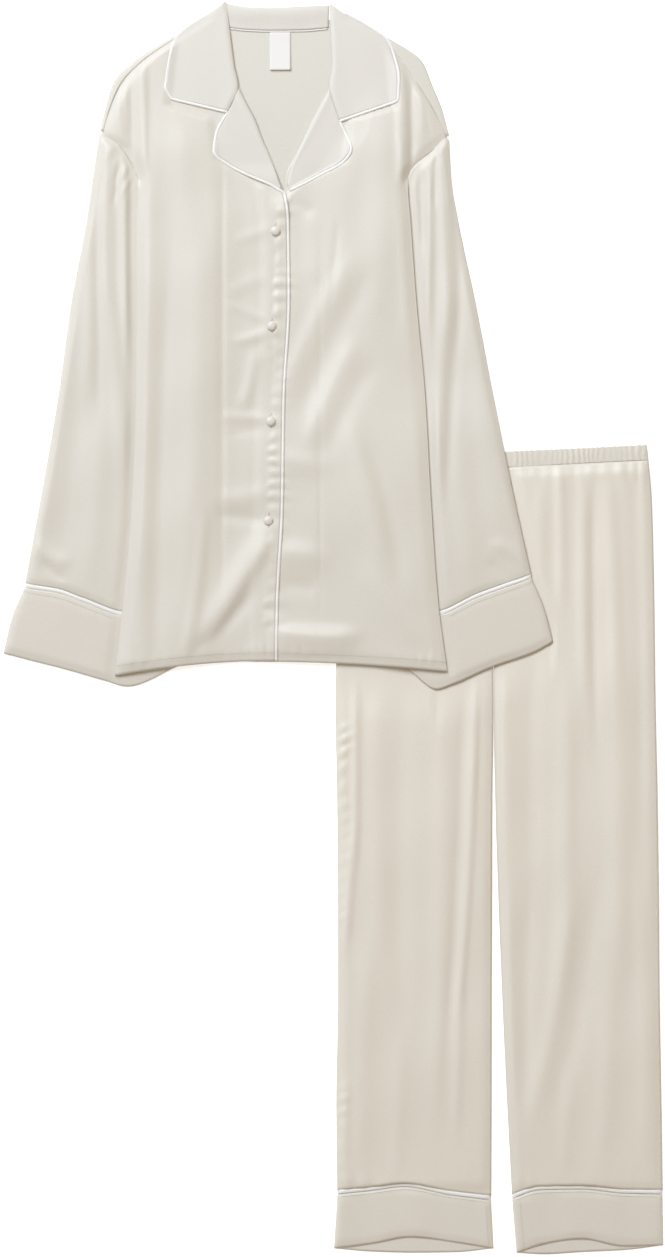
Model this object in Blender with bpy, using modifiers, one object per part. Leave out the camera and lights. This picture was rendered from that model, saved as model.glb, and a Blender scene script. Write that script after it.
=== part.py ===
"""Pyjama set laid flat: a notched-collar shirt over elastic-waist trousers, one solid for each cut piece.

Every table is in millimetres, in the garment's own frame: x runs across from the centre front,
y runs up from the hem. SHIRT_AT and TROUSERS_AT place the two garments in the set's frame,
whose origin lies under its middle. +Z points up from the surface that the set lies on.
"""
import math

import bmesh
import bpy
from mathutils import Vector

MM = 0.001

# Driving sizes, in millimetres.
CLOTH = 1.2            # wall of every cloth piece
GAP = 0.4              # clearance between two layers
SEAM = 0.35            # clearance between pieces sewn edge to edge
LAYER = CLOTH + GAP    # height of one cloth layer
TUBE = 2 * CLOTH + GAP           # height of a flattened tube, such as a sleeve
LIFT = TUBE + 0.7                # how far the body rises where it lies over a sleeve
STEP = TUBE + 0.8                # how far the shirt rises where it lies over the trousers
RAMP = 100.0                     # length of the slope up to that step
PIPING = 3.6                     # width of the piping band in a seam
CORD = 1.3                       # radius of the piping along an edge
BUTTON_RADIUS, BUTTON_HEIGHT = 5.8, 4.8
LABEL_SIZE = (25.0, 43.0, 1.0)
CELL = 34.0                      # longest run between two mesh rows
SHIRT_AT = (-62.4, -49.8)
TROUSERS_AT = (193.2, -745.8)
TROUSERS_LEFT, TROUSERS_TOP = -194.0, 962.0   # the sides of the trousers that the shirt climbs

# Body of the shirt, a row per height, hem first. Columns:
# y at the side, y at the centre, then x of: side edge, fold foot, fold crest, end of the shelf over
# the sleeve, foot of its slope, start of the overlap, and the two sides of the overlap of the fronts
# (its far side is the front's own edge, which above the buttons is the roll line of the lapel).
# The last two are the lift at the side and the lift at the crest, as shares of LIFT.
LEFT_BODY = (
    (-7, 11, -199, -194, -188, -120, -64, -42, -29, -7, 1.0, 1.0),
    (72, 77, -190, -185, -179, -114, -59, -41, -28, -6, 1.0, 1.0),
    (196, 196, -179, -173, -168, -106, -52, -35, -22, 0, 1.0, 1.0),
    (324, 324, -174, -169, -163, -95, -44, -33, -20, 2, 1.0, 1.0),
    (444, 444, -173, -168, -162, -84, -40, -27, -14, 8, 1.0, 1.0),
    (540, 540, -173, -167, -161, -82, -40, -28, -15, 7, 1.0, 1.0),
    (583, 575, -171, -167, -161, -91, -46, -33, -20, 2, 1.0, 1.0),
    (593, 593, -173, -168, -161, -95, -51, -38, -26, -4, 0.0, 1.0),
    (620, 624, -187, -170, -162, -109, -66, -53, -41, -17, 0.0, 0.85),
    (644, 644, -214, -172, -162, -119, -75, -62, -49, -26, 0.0, 0.65),
    (674, 678, -205, -170, -162, -131, -91, -76, -64, -41, 0.0, 0.35),
    (702, 702, -192, -172, -163, -139, -107, -86, -74, -51, 0.0, 0.15),
    (728, 730, -168, -164, -158, -145, -115, -94, -84, -62, 0.0, 0.0),
    (755, 755, -130, -127, -124, -116, -106, -98, -88, -68, 0.0, 0.0),
    (779, 780, -91, -89, -87, -85, -83, -81, -78, -72, 0.0, 0.0),
)
RIGHT_BODY = (
    (-2, 10, 199, 193, 187, 164, 104, 20, -7, -29, 1.0, 1.0),
    (74, 77, 189, 184, 179, 143, 85, 20, -6, -28, 1.0, 1.0),
    (196, 196, 180, 175, 169, 107, 47, 16, 0, -22, 1.0, 1.0),
    (324, 324, 173, 167, 162, 91, 32, 12, 2, -20, 1.0, 1.0),
    (444, 444, 162, 157, 151, 80, 25, 14, 8, -14, 1.0, 1.0),
    (540, 540, 155, 149, 144, 78, 24, 14, 7, -15, 1.0, 1.0),
    (583, 575, 152, 147, 142, 85, 28, 16, 10, 3, 1.0, 1.0),
    (599, 593, 156, 149, 142, 89, 38, 30, 26, 5, 0.0, 1.0),
    (622, 624, 180, 150, 143, 95, 54, 48, 42, 20, 0.0, 0.85),
    (638, 644, 199, 149, 140, 104, 66, 58, 50, 29, 0.0, 0.65),
    (670, 678, 184, 148, 139, 112, 80, 74, 67, 46, 0.0, 0.35),
    (702, 702, 164, 146, 139, 119, 90, 84, 79, 58, 0.0, 0.15),
    (729, 730, 145, 142, 136, 124, 100, 94, 84, 62, 0.0, 0.0),
    (758, 755, 122, 120, 116, 112, 104, 98, 88, 68, 0.0, 0.0),
    (780, 780, 85, 83, 81, 80, 79, 77, 75, 70, 0.0, 0.0),
)
V_BOTTOM = 580.0       # below this the fronts cross
BODY_SPANS = (1, 1, 2, 2, 1, 1, 2)
BODY_STEPS = (2, 3, 4, 4, 2, 1, 1, 1, 1, 1, 1, 1, 1, 1)

# Strip of the back that wraps over each shoulder, a row per height: x, y on the fold, x, y on the seam.
LEFT_STRIP = ((-216.5, 646, -214.5, 646), (-210, 674, -205.6, 674.5), (-200, 706, -192.6, 702.6),
              (-176, 730, -168.6, 728.6), (-135, 756, -130.6, 755.6), (-98, 778, -96, 777.4))
RIGHT_STRIP = ((201, 641, 199.5, 640.6), (193, 672, 184.6, 670.6), (181, 702, 164.8, 702.4),
               (169, 730, 145.8, 729.4), (125, 759.5, 122.6, 758.6), (92, 778, 90, 777.4))

# Sleeves, a row per height, cuff seam first: x, y of six places from the outer fold to the hidden one.
LEFT_SLEEVE = (
    ((-307, 104), (-304, 103), (-268, 97), (-234, 85), (-190, 70), (-114, 79)),
    ((-294, 175), (-290, 174), (-256, 168), (-220, 160), (-184, 150), (-109, 144)),
    ((-268, 324), (-265, 323), (-234, 320), (-203, 317), (-170, 313), (-98, 308)),
    ((-251, 444), (-247, 443), (-221, 440), (-193, 438), (-164, 436), (-88, 431)),
    ((-233, 540), (-230, 539), (-210, 534), (-188, 527), (-162, 517), (-85, 485)),
    ((-226, 588), (-223, 587), (-208, 578), (-188, 565), (-166, 550), (-88, 499)),
    ((-218, 642), (-214.6, 643), (-188, 619), (-174.2, 592), (-168, 575), (-94, 513)),
)
RIGHT_SLEEVE = (
    ((300, 115), (296, 113), (268, 103), (235, 91), (191, 71), (146, 77)),
    ((282, 196), (278, 194), (250, 188), (220, 180), (186, 173), (112, 168)),
    ((256, 324), (252, 323), (227, 319), (202, 316), (176, 312), (96, 307)),
    ((233, 444), (229, 443), (206, 440), (184, 438), (164, 436), (86, 430)),
    ((213, 538), (209, 536), (191, 530), (172, 523), (155, 514), (84, 482)),
    ((205, 586), (202, 583), (186, 576), (167, 564), (152, 548), (86, 498)),
    ((202, 636), (200, 637), (181, 620), (157, 597.5), (149, 575), (88, 513)),
)
LEFT_CUFF = (
    ((-333, 19.8), (-303, 12), (-257, 0.2), (-211, -13), (-184, -20), (-122, 5)),
    ((-323, 62), (-301, 56), (-260, 46), (-220, 33), (-187, 24), (-118, 41)),
)
RIGHT_CUFF = (
    ((326, 34), (304, 21.8), (254, 4), (206, -17), (186, -23), (152, 2)),
    ((316, 73), (296, 65), (260, 52), (221, 37), (188, 24), (149, 36)),
)
SLEEVE_SPANS = (1, 2, 2, 1, 2)

# Collar: its left and right leaves, a row per height (x, y on the outer edge, x, y on the roll line),
# and the inside of its back, between them (neck seam first, then the fold at the top).
LEFT_LEAF = ((-131, 686, -63, 670), (-138, 703, -51, 699), (-135, 727, -56, 726), (-128, 755, -60, 757),
             (-106, 775, -62.5, 776), (-86, 787, -63.8, 788), (-68, 801, -65.3, 801.5))
RIGHT_LEAF = ((139, 683, 69, 659), (140, 709, 57.5, 699), (134, 738, 61, 728), (126, 755, 60, 752),
              (101, 773, 59.5, 771), (76, 787, 58.8, 784), (60.5, 798, 58.3, 798))
COLLAR_BACK = (((-63, 771), (-42, 768.5), (-13, 767.5), (27, 768), (57, 770.5)),
               ((-65, 799), (-42, 795), (-13, 794), (29, 796), (58, 797)))
COLLAR_EDGE_LEFT = ((-64, 669), (-98, 677), (-131, 685), (-138.5, 692), (-139, 706), (-135.6, 727), (-128.4, 755),
                    (-107, 775))
COLLAR_EDGE_RIGHT = ((71, 658.5), (106, 669.5), (139, 681), (144, 690), (140.6, 709), (134.8, 738), (126.6, 755),
                     (102, 773))

# Lapels, a row per height: x, y on the outer edge, x, y on the roll line.
LEFT_LAPEL = ((-0.5, 576, -1.2, 582), (-12, 583, -12, 612), (-42, 596, -23, 638), (-64, 608, -32, 662),
              (-79, 622, -39.5, 676), (-76, 643, -44, 685), (-63.4, 667.4, -51, 696.5))
RIGHT_LAPEL = ((9.5, 576, 7.5, 584), (24.6, 583, 14, 608), (49, 596, 27, 637), (74, 610, 38, 660),
               (83, 624, 45, 674), (78, 639, 52, 686), (69.6, 656.4, 57.5, 696.5))
LEFT_LAPEL_EDGE = ((-65.2, 663.6), (-77, 643), (-80.5, 630), (-79.5, 621), (-74, 615), (-64, 607), (-42, 595),
                   (-12, 581), (1, 574.5))
PLACKET_EDGE = ((5.2, 568), (6.4, 552), (7.4, 530), (8.4, 492), (8, 444), (5.4, 384), (2, 324), (1.4, 260),
                (0, 196), (-3, 137), (-6, 77), (-7, 12))
RIGHT_LAPEL_EDGE = ((72.4, 651.6), (79, 638.5), (84, 626), (83.5, 616), (74, 609), (49, 595), (24.6, 582), (12, 575.6))
NECK_SEAM = ((-58, 765), (-32, 764), (0, 764), (28, 764.5), (54, 766.5))
BUTTONS = ((-6.6, 526), (-11, 412), (-12, 298), (-15, 179))
LABEL_CENTRE = (-1.0, 741.0)

# Trousers, a row per height, leg cuff first: x, y of five places from the outseam to the inseam,
# and the other way about on the right leg.
LEFT_LEG = (
    ((-188, 72), (-149, 76), (-107, 81), (-53, 71), (-3.6, 65)),
    ((-189, 180), (-149, 180), (-107, 180), (-53, 180), (-3.2, 180)),
    ((-187, 300), (-148, 300), (-106, 300), (-53, 300), (-3, 300)),
    ((-187, 420), (-148, 420), (-106, 420), (-53, 420), (-2.6, 420)),
    ((-188, 540), (-148, 540), (-106, 540), (-53, 540), (-2.2, 540)),
    ((-190, 662), (-148, 660), (-106, 656), (-53, 650), (-1, 642)),
    ((-187, 780), (-146, 780), (-104, 780), (-52, 780), (-0.8, 780)),
    ((-184, 900), (-143, 900), (-102, 900), (-51, 900), (-0.8, 900)),
    ((-182, 937), (-141, 937.3), (-101, 937.5), (-50, 937.8), (-0.8, 938)),
)
RIGHT_LEG = (
    ((21.6, 67), (55, 77), (105, 78), (157, 73), (202, 72)),
    ((15.6, 180), (52, 180), (103, 180), (155, 180), (200.5, 180)),
    ((10.2, 300), (48, 300), (100, 300), (152, 300), (198.5, 300)),
    ((5.4, 420), (45, 420), (98, 420), (150, 420), (197.5, 420)),
    ((1.6, 540), (42, 540), (96, 540), (148, 540), (196, 540)),
    ((0, 642), (40, 648), (94, 654), (146, 658), (193.5, 660)),
    ((0, 780), (40, 780), (94, 780), (146, 780), (192, 780)),
    ((0, 900), (40, 900), (92, 900), (143, 900), (189, 900)),
    ((0, 938), (40, 940), (90, 942.3), (140, 944.8), (185, 947)),
)
WAISTBAND = (
    ((-182, 937.6), (-91, 938), (0, 938.6), (92, 943), (185.4, 947.7)),
    ((-181, 948), (-90, 948), (0, 948.5), (93, 953), (184.5, 957)),
    ((-179, 958), (-89, 957.5), (0, 958), (94, 961.5), (183, 966)),
)
# Leg cuffs: the lower edge of the front, the lower edge of the back, and the upper edge of both.
LEFT_LEG_CUFF = (
    ((-192, 2.2), (-149, 7.6), (-100, 16), (-46, 9.6), (-0.6, 2.2)),
    ((-192, 2.2), (-149, -1.6), (-100, -3.1), (-46, -2.4), (-0.6, 2.2)),
    ((-188, 67.2), (-149, 71.2), (-107, 76.2), (-53, 66.2), (-3.6, 60.2)),
)
RIGHT_LEG_CUFF = (
    ((27, -3.1), (60, 7.6), (105, 13.8), (158, 4.8), (203, 6)),
    ((27, -3.1), (60, -5), (105, -2.4), (158, 0.2), (203, 6)),
    ((21.6, 62.2), (55, 72.2), (105, 73.2), (157, 68.2), (202, 67.2)),
)
LEG_SPANS = (1, 1, 1, 1)
SATIN = (0.760, 0.715, 0.640)
SATIN_SHADE = (0.700, 0.650, 0.570)
TRIM = (0.870, 0.860, 0.840)
LABEL_WHITE = (0.900, 0.890, 0.860)


def mix(start, end, share):
    """Return the point that lies the given share of the way from start to end."""
    return tuple(a + (b - a) * share for a, b in zip(start, end))


def smooth(share):
    """Return a share eased at both ends, and held between 0 and 1."""
    share = min(1.0, max(0.0, share))
    return share * share * (3.0 - 2.0 * share)


def step_up(x, y):
    """Return the height of the shirt's support at a point of the shirt: STEP over the trousers, else 0."""
    set_x, set_y = x + SHIRT_AT[0], y + SHIRT_AT[1]
    left = TROUSERS_AT[0] + TROUSERS_LEFT
    top = TROUSERS_AT[1] + TROUSERS_TOP
    return STEP * smooth((set_x - left + RAMP) / RAMP) * smooth((top + RAMP - set_y) / RAMP)


def spread(row, spans):
    """Return a row's control points with evenly spaced points added between them."""
    points = [row[0]]
    for start, end, count in zip(row, row[1:], spans):
        points += [mix(start, end, (k + 1) / count) for k in range(count)]
    return points


def steps_for(rows, cell=CELL):
    """Return how many steps each pair of rows needs, so that no run is longer than cell."""
    runs = [max(math.dist(a, b) for a, b in zip(lower, upper)) for lower, upper in zip(rows, rows[1:])]
    return [math.ceil(run / cell) for run in runs]


def fill_rows(rows, steps):
    """Return rows with further rows added between them, in the given number of steps for each pair."""
    filled = [list(rows[0])]
    for lower, upper, count in zip(rows, rows[1:], steps):
        filled += [[mix(a, b, (k + 1) / count) for a, b in zip(lower, upper)] for k in range(count)]
    return filled


def body_side(table):
    """Return one side of the body: rows of (x, y, lift) from the side edge to the placket edge."""
    rows = []
    for y_side, y_centre, *places, lift_side, lift_crest in table:
        side, edge = places[0], places[-1]
        lifts = (lift_side, lift_side, lift_crest, lift_crest, 0.0, 0.0, 0.0, 0.0)
        row = []
        for x, lift in zip(places, lifts):
            across = 1.0 - min(1.0, max(0.0, (x - side) / (edge - side)))
            row.append((x, y_centre + (y_side - y_centre) * across * across, lift))
        rows.append(spread(row, BODY_SPANS))
    return fill_rows(rows, BODY_STEPS)


def body_height(point):
    """Return the height of the layer right under the shirt's back at a point (x, y, lift)."""
    x, y, lift = point
    return LIFT * smooth(lift) + step_up(x, y)


def lift_at(x, y):
    """Return the lift of the body at any x, y, read from the two tables."""
    table = LEFT_BODY if x < 0 else RIGHT_BODY
    rows = [(row[1], row[2:8], (row[10], row[10], row[11], row[11], 0.0, 0.0)) for row in table]
    y = min(max(y, rows[0][0]), rows[-1][0])
    for lower, upper in zip(rows, rows[1:]):
        if y <= upper[0]:
            break
    share = (y - lower[0]) / (upper[0] - lower[0])
    places = [abs(value) for value in mix(lower[1], upper[1], share)]
    lifts = mix(lower[2], upper[2], share)
    for near, far, lift_near, lift_far in zip(places, places[1:], lifts, lifts[1:]):
        if far <= abs(x) <= near:
            return lift_far + (lift_near - lift_far) * (abs(x) - far) / (near - far)
    return lifts[0] if abs(x) > places[0] else 0.0


def make_material(name, colour, roughness):
    """Return a Principled material of the given colour and roughness."""
    material = bpy.data.materials.new(name)
    material.use_nodes = True
    shader = material.node_tree.nodes["Principled BSDF"]
    shader.inputs["Base Color"].default_value = (*colour, 1.0)
    shader.inputs["Roughness"].default_value = roughness
    shader.inputs["Metallic"].default_value = 0.0
    return material


def add_object(collection, name, mesh_or_curve, material):
    """Link a new object of the given data and material, and return it."""
    obj = bpy.data.objects.new(name, mesh_or_curve)
    mesh_or_curve.materials.append(material)
    collection.objects.link(obj)
    return obj


def add_wall(obj, offset):
    """Give an open surface its cloth wall, on its outer side for offset 1 and inside it for -1."""
    wall = obj.modifiers.new("Wall", "SOLIDIFY")
    wall.thickness = CLOTH * MM
    wall.offset = offset
    wall.use_even_offset = True
    wall.use_quality_normals = True


def make_sheet(collection, name, rows, place, material, split="BEAUTY"):
    """Add a sheet of cloth through rows of (x, y, z) in a garment's frame, its wall above those points.

    Sheets that lie on each other take split="FIXED", so that their facets match.
    """
    count_y, count_x = len(rows), len(rows[0])
    bm = bmesh.new()
    bmesh.ops.create_grid(bm, x_segments=count_x - 1, y_segments=count_y - 1, size=1.0)
    corners = sorted(bm.verts, key=lambda vert: (round(vert.co.y, 5), vert.co.x))
    points = [point for row in rows for point in row]
    for vert, (x, y, z) in zip(corners, points):
        vert.co = Vector((x + place[0], y + place[1], z)) * MM
    bm.normal_update()
    if sum(face.normal.z for face in bm.faces) < 0:
        bmesh.ops.reverse_faces(bm, faces=bm.faces)
    bmesh.ops.triangulate(bm, faces=bm.faces, quad_method=split)
    mesh = bpy.data.meshes.new(name)
    bm.to_mesh(mesh)
    bm.free()
    obj = add_object(collection, name, mesh, material)
    add_wall(obj, 1.0)
    return obj


def make_tube(collection, name, top_rows, bottom_rows, height, place, material):
    """Add a flattened tube, such as a sleeve: an upper and a lower layer that meet at both folds."""
    rings = []
    for top, bottom in zip(top_rows, bottom_rows):
        lower = [(x, y, height(x, y)) for x, y in bottom]
        upper = [(x, y, height(x, y) + TUBE) for x, y in top]
        ring = lower + upper[::-1]
        rings.append(ring if top[0][0] < top[-1][0] else ring[::-1])
    bm = bmesh.new()
    loops = [[bm.verts.new(Vector((x + place[0], y + place[1], z)) * MM) for x, y, z in ring] for ring in rings]
    for lower, upper in zip(loops, loops[1:]):
        for k in range(len(lower)):
            n = (k + 1) % len(lower)
            bm.faces.new((lower[k], lower[n], upper[n], upper[k]))
    bmesh.ops.reverse_faces(bm, faces=bm.faces)
    mesh = bpy.data.meshes.new(name)
    bm.to_mesh(mesh)
    bm.free()
    obj = add_object(collection, name, mesh, material)
    add_wall(obj, -1.0)
    return obj


def make_cord(collection, name, points, radius, place, material):
    """Add a round cord through points (x, y, z) of a garment's frame."""
    curve = bpy.data.curves.new(name, "CURVE")
    curve.dimensions = "3D"
    curve.bevel_depth = radius * MM
    curve.bevel_resolution = 1
    curve.use_fill_caps = True
    spline = curve.splines.new("POLY")
    spline.points.add(len(points) - 1)
    for knot, (x, y, z) in zip(spline.points, points):
        knot.co = (*(Vector((x + place[0], y + place[1], z)) * MM), 1.0)
    return add_object(collection, name, curve, material)


def beside(points, distance):
    """Return a flat line moved to its left by distance, or to its right where distance is negative."""
    moved = []
    for k, point in enumerate(points):
        before = Vector(points[max(k - 1, 0)])
        after = Vector(points[min(k + 1, len(points) - 1)])
        along = (after - before).normalized()
        moved.append((point[0] - along.y * distance, point[1] + along.x * distance))
    return moved


def shorten(row, end_cut):
    """Return a row of points moved down its own length of cloth by end_cut, for the next piece's edge."""
    return [(x, y - end_cut) for x, y in row]


def layer_height(x, y, layers):
    """Return the height of a piece that lies on the body with the given number of layers under it."""
    return body_height((x, y, lift_at(x, y))) + layers * LAYER


def turned_layers(x, y):
    """Return how many layers lie under what is turned back on the fronts: 3 where the fronts cross, else 2."""
    return 2 + (smooth((610 - y) / 24) * smooth((y - 560) / 12) if x < 3 else 0)


def build_body(collection, satin):
    """Add the back, the two fronts and the strips of the back that wrap over the shoulders."""
    left, right = body_side(LEFT_BODY), body_side(RIGHT_BODY)
    back, front_left, front_right = [], [], []
    for left_row, right_row in zip(left, right):
        back.append([(*p[:2], body_height(p)) for p in left_row[:-3] + right_row[::-1]])
        front_right.append([(*p[:2], body_height(p) + LAYER) for p in right_row[::-1]])
        crossing = LAYER if left_row[-1][1] < V_BOTTOM else 0.0
        heights = [LAYER] * (len(left_row) - 3) + [LAYER + crossing] * 3
        front_left.append([(*p[:2], body_height(p) + rise) for p, rise in zip(left_row, heights)])
    make_sheet(collection, "shirt_back", back, SHIRT_AT, satin, "FIXED")
    make_sheet(collection, "shirt_front_left", front_left, SHIRT_AT, satin, "FIXED")
    make_sheet(collection, "shirt_front_right", front_right, SHIRT_AT, satin, "FIXED")
    for name, table in (("shoulder_wrap_left", LEFT_STRIP), ("shoulder_wrap_right", RIGHT_STRIP)):
        rows = [[(x0, y0, LAYER), (x1, y1, LAYER)] for x0, y0, x1, y1 in table]
        make_sheet(collection, name, rows, SHIRT_AT, satin)


def build_sleeve(collection, side, rows, cuff, satin, shade, trim):
    """Add a sleeve, its cuff and the piping between them, each a flattened tube."""
    sleeve = fill_rows([spread(row, SLEEVE_SPANS) for row in rows], steps_for(rows))
    make_tube(collection, f"sleeve_{side}", sleeve, sleeve, step_up, SHIRT_AT, satin)
    band_top = shorten(sleeve[0], SEAM)
    band_end = shorten(sleeve[0], SEAM + PIPING)
    make_tube(collection, f"sleeve_piping_{side}", [band_end, band_top], [band_end, band_top],
              step_up, SHIRT_AT, trim)
    body = [spread(row, SLEEVE_SPANS) for row in cuff] + [shorten(band_end, SEAM)]
    make_tube(collection, f"sleeve_cuff_{side}", body, body, step_up, SHIRT_AT, shade)


def build_collar(collection, satin, trim):
    """Add the collar, the two lapels, and the piping along their edges, the placket and the neck seam."""
    for name, table, places in (("collar_left", LEFT_LEAF, 3), ("collar_right", RIGHT_LEAF, 3),
                                ("lapel_left", LEFT_LAPEL, 2), ("lapel_right", RIGHT_LAPEL, 2)):
        rows = []
        for x_out, y_out, x_in, y_in in table:
            line = spread(((x_out, y_out), (x_in, y_in)), (places,))
            rows.append([(x, y, layer_height(x, y, turned_layers(x, y)) + GAP / 2) for x, y in line])
        make_sheet(collection, name, rows, SHIRT_AT, satin)
    rows = [[(x, y, LAYER) for x, y in row] for row in COLLAR_BACK]
    make_sheet(collection, "collar_back", rows, SHIRT_AT, satin)
    reach = CORD + SEAM
    edges = (("collar_piping_left", beside(COLLAR_EDGE_LEFT, reach)),
             ("collar_piping_right", beside(COLLAR_EDGE_RIGHT, -reach)),
             ("front_piping_left", beside(LEFT_LAPEL_EDGE, -reach) + beside(PLACKET_EDGE, reach)),
             ("front_piping_right", beside(RIGHT_LAPEL_EDGE, reach)))
    for name, line in edges:
        points = [(x, y, layer_height(x, y, turned_layers(x, y)) + GAP / 2 + CORD) for x, y in line]
        make_cord(collection, name, points, CORD, SHIRT_AT, trim)
    thin = 0.5 * CORD
    points = [(x, y, CLOTH + SEAM + thin) for x, y in NECK_SEAM]
    make_cord(collection, "neck_piping", points, thin, SHIRT_AT, trim)


def build_buttons(collection, satin):
    """Add the covered buttons on the placket."""
    for number, (x, y) in enumerate(BUTTONS, start=1):
        bm = bmesh.new()
        bmesh.ops.create_uvsphere(bm, u_segments=12, v_segments=6, radius=1.0)
        bmesh.ops.scale(bm, vec=(BUTTON_RADIUS * MM, BUTTON_RADIUS * MM, BUTTON_HEIGHT / 2 * MM), verts=bm.verts)
        mesh = bpy.data.meshes.new(f"button_{number}")
        bm.to_mesh(mesh)
        bm.free()
        mesh.shade_smooth()
        obj = add_object(collection, f"button_{number}", mesh, satin)
        z = step_up(x, y) + 2 * LAYER + CLOTH + GAP + BUTTON_HEIGHT / 2
        obj.location = Vector((x + SHIRT_AT[0], y + SHIRT_AT[1], z)) * MM


def build_label(collection, white):
    """Add the bare neck label, flat on the inside of the back."""
    bm = bmesh.new()
    bmesh.ops.create_cube(bm, size=1.0)
    bmesh.ops.scale(bm, vec=[side * MM for side in LABEL_SIZE], verts=bm.verts)
    mesh = bpy.data.meshes.new("neck_label")
    bm.to_mesh(mesh)
    bm.free()
    obj = add_object(collection, "neck_label", mesh, white)
    x, y = LABEL_CENTRE
    obj.location = Vector((x + SHIRT_AT[0], y + SHIRT_AT[1], CLOTH + GAP + LABEL_SIZE[2] / 2)) * MM


def build_trousers(collection, satin, shade, trim):
    """Add the four leg panels, the elastic waistband, and each leg's cuff and piping."""
    for side, table, cuff in (("left", LEFT_LEG, LEFT_LEG_CUFF), ("right", RIGHT_LEG, RIGHT_LEG_CUFF)):
        rows = [spread(row, LEG_SPANS) for row in table]
        for layer, name in enumerate(("back", "front")):
            sheet = [[(x, y, layer * LAYER) for x, y in row] for row in rows]
            make_sheet(collection, f"trouser_{name}_{side}", sheet, TROUSERS_AT, satin)
        band_top = shorten(rows[0], SEAM)
        band_end = shorten(rows[0], SEAM + PIPING)
        make_tube(collection, f"leg_piping_{side}", [band_end, band_top], [band_end, band_top],
                  on_floor, TROUSERS_AT, trim)
        front_edge, back_edge, top_edge = cuff
        front, back = [front_edge, top_edge], [back_edge, top_edge]
        make_tube(collection, f"leg_cuff_{side}", front, back, on_floor, TROUSERS_AT, shade)
    make_tube(collection, "waistband", WAISTBAND, WAISTBAND, on_floor, TROUSERS_AT, satin)


def on_floor(x, y):
    """Return the height of a piece that lies straight on the surface."""
    return 0.0


def main():
    """Build the whole set in its own collection."""
    for obj in list(bpy.data.objects):
        bpy.data.objects.remove(obj)
    collection = bpy.data.collections.new("pyjama_set")
    bpy.context.scene.collection.children.link(collection)
    satin = make_material("ivory_satin", SATIN, 0.35)
    shade = make_material("ivory_satin_cuffs", SATIN_SHADE, 0.35)
    trim = make_material("white_piping", TRIM, 0.45)
    white = make_material("label_tape", LABEL_WHITE, 0.7)
    build_trousers(collection, satin, shade, trim)
    build_sleeve(collection, "left", LEFT_SLEEVE, LEFT_CUFF, satin, shade, trim)
    build_sleeve(collection, "right", RIGHT_SLEEVE, RIGHT_CUFF, satin, shade, trim)
    build_body(collection, satin)
    build_collar(collection, satin, trim)
    build_buttons(collection, satin)
    build_label(collection, white)


main()
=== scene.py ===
"""Pyjama set laid flat: an ivory satin shirt with white piping over matching trousers, dressed as cloth.

Tables are in millimetres in each garment's own frame: x runs across from the centre front and y runs up
from the hem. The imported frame's boxes place the two garments. Meshes are made in metres.
"""
from __future__ import annotations

import logging
import math
from dataclasses import dataclass, field
from enum import Enum

import bmesh
import bpy
import numpy as np
from mathutils import Matrix, Vector

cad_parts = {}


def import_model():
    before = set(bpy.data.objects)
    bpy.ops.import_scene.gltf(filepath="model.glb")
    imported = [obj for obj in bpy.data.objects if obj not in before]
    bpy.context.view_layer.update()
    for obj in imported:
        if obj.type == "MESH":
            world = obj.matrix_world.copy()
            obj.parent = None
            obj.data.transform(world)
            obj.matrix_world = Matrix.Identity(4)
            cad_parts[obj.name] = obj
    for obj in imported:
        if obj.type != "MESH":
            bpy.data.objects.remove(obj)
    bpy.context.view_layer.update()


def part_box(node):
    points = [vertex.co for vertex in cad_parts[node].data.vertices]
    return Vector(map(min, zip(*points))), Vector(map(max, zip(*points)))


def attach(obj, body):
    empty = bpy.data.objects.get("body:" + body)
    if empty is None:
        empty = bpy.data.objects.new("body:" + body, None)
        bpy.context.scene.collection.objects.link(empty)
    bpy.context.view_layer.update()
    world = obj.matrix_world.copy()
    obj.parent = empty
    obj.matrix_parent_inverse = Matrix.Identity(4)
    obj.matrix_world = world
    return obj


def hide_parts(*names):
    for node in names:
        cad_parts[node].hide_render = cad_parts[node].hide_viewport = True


LOG = logging.getLogger("pyjama_set")
MM = 0.001
ROOT = "root"
WALL = 0.9        # wall of the visible cloth
CLOTH = 1.2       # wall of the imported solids, which sets how high each layer lies
GAP = 0.4         # clearance between two layers
LAYER = CLOTH + GAP
TUBE = 2 * CLOTH + GAP
LIFT = TUBE + 0.7  # how far the body rises over a sleeve
STEP = TUBE + 0.8  # how far the shirt rises over the trousers
RAMP = 100.0       # length of the slope up to that step
CELL = 3.4        # longest run between two mesh rows or columns
SEAM_ROLL = 2.5   # how fast gathers die out on the far side of their seam
FOLD_ROUND = 5.0  # how far in from its fold a tube takes to reach its full height
EDGE_DROP = 0.62  # how far a panel's side edge turns down
BACK_SHARE = 0.45  # share of the fronts' folds that the back under them follows
LEAST_CUT = 0.011  # shortest side that a cut is measured with, in metres

# How far the garments' own frames lie from the corners of their packed boxes.
CUFF_REACH, HEM_DROP = 333.0, 7.0    # left end of the left cuff and lowest point of the shirt's hem
LEG_REACH, LEG_DROP = 192.0, 5.0     # left end of the left leg cuff and lowest point of the right one
TROUSERS_HALF, WAIST_RIM = 194.0, 4.0  # side and top of the trousers that the shirt climbs

Table = tuple[tuple[float, ...], ...]
Place = tuple[float, float]


class Side(Enum):
    """Side of a garment as it lies, seen from above."""

    LEFT = "left"
    RIGHT = "right"


def ease(share: np.ndarray | float) -> np.ndarray:
    """Return a share held between 0 and 1 and eased at both ends."""
    share = np.clip(share, 0.0, 1.0)
    return share * share * (3.0 - 2.0 * share)


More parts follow.
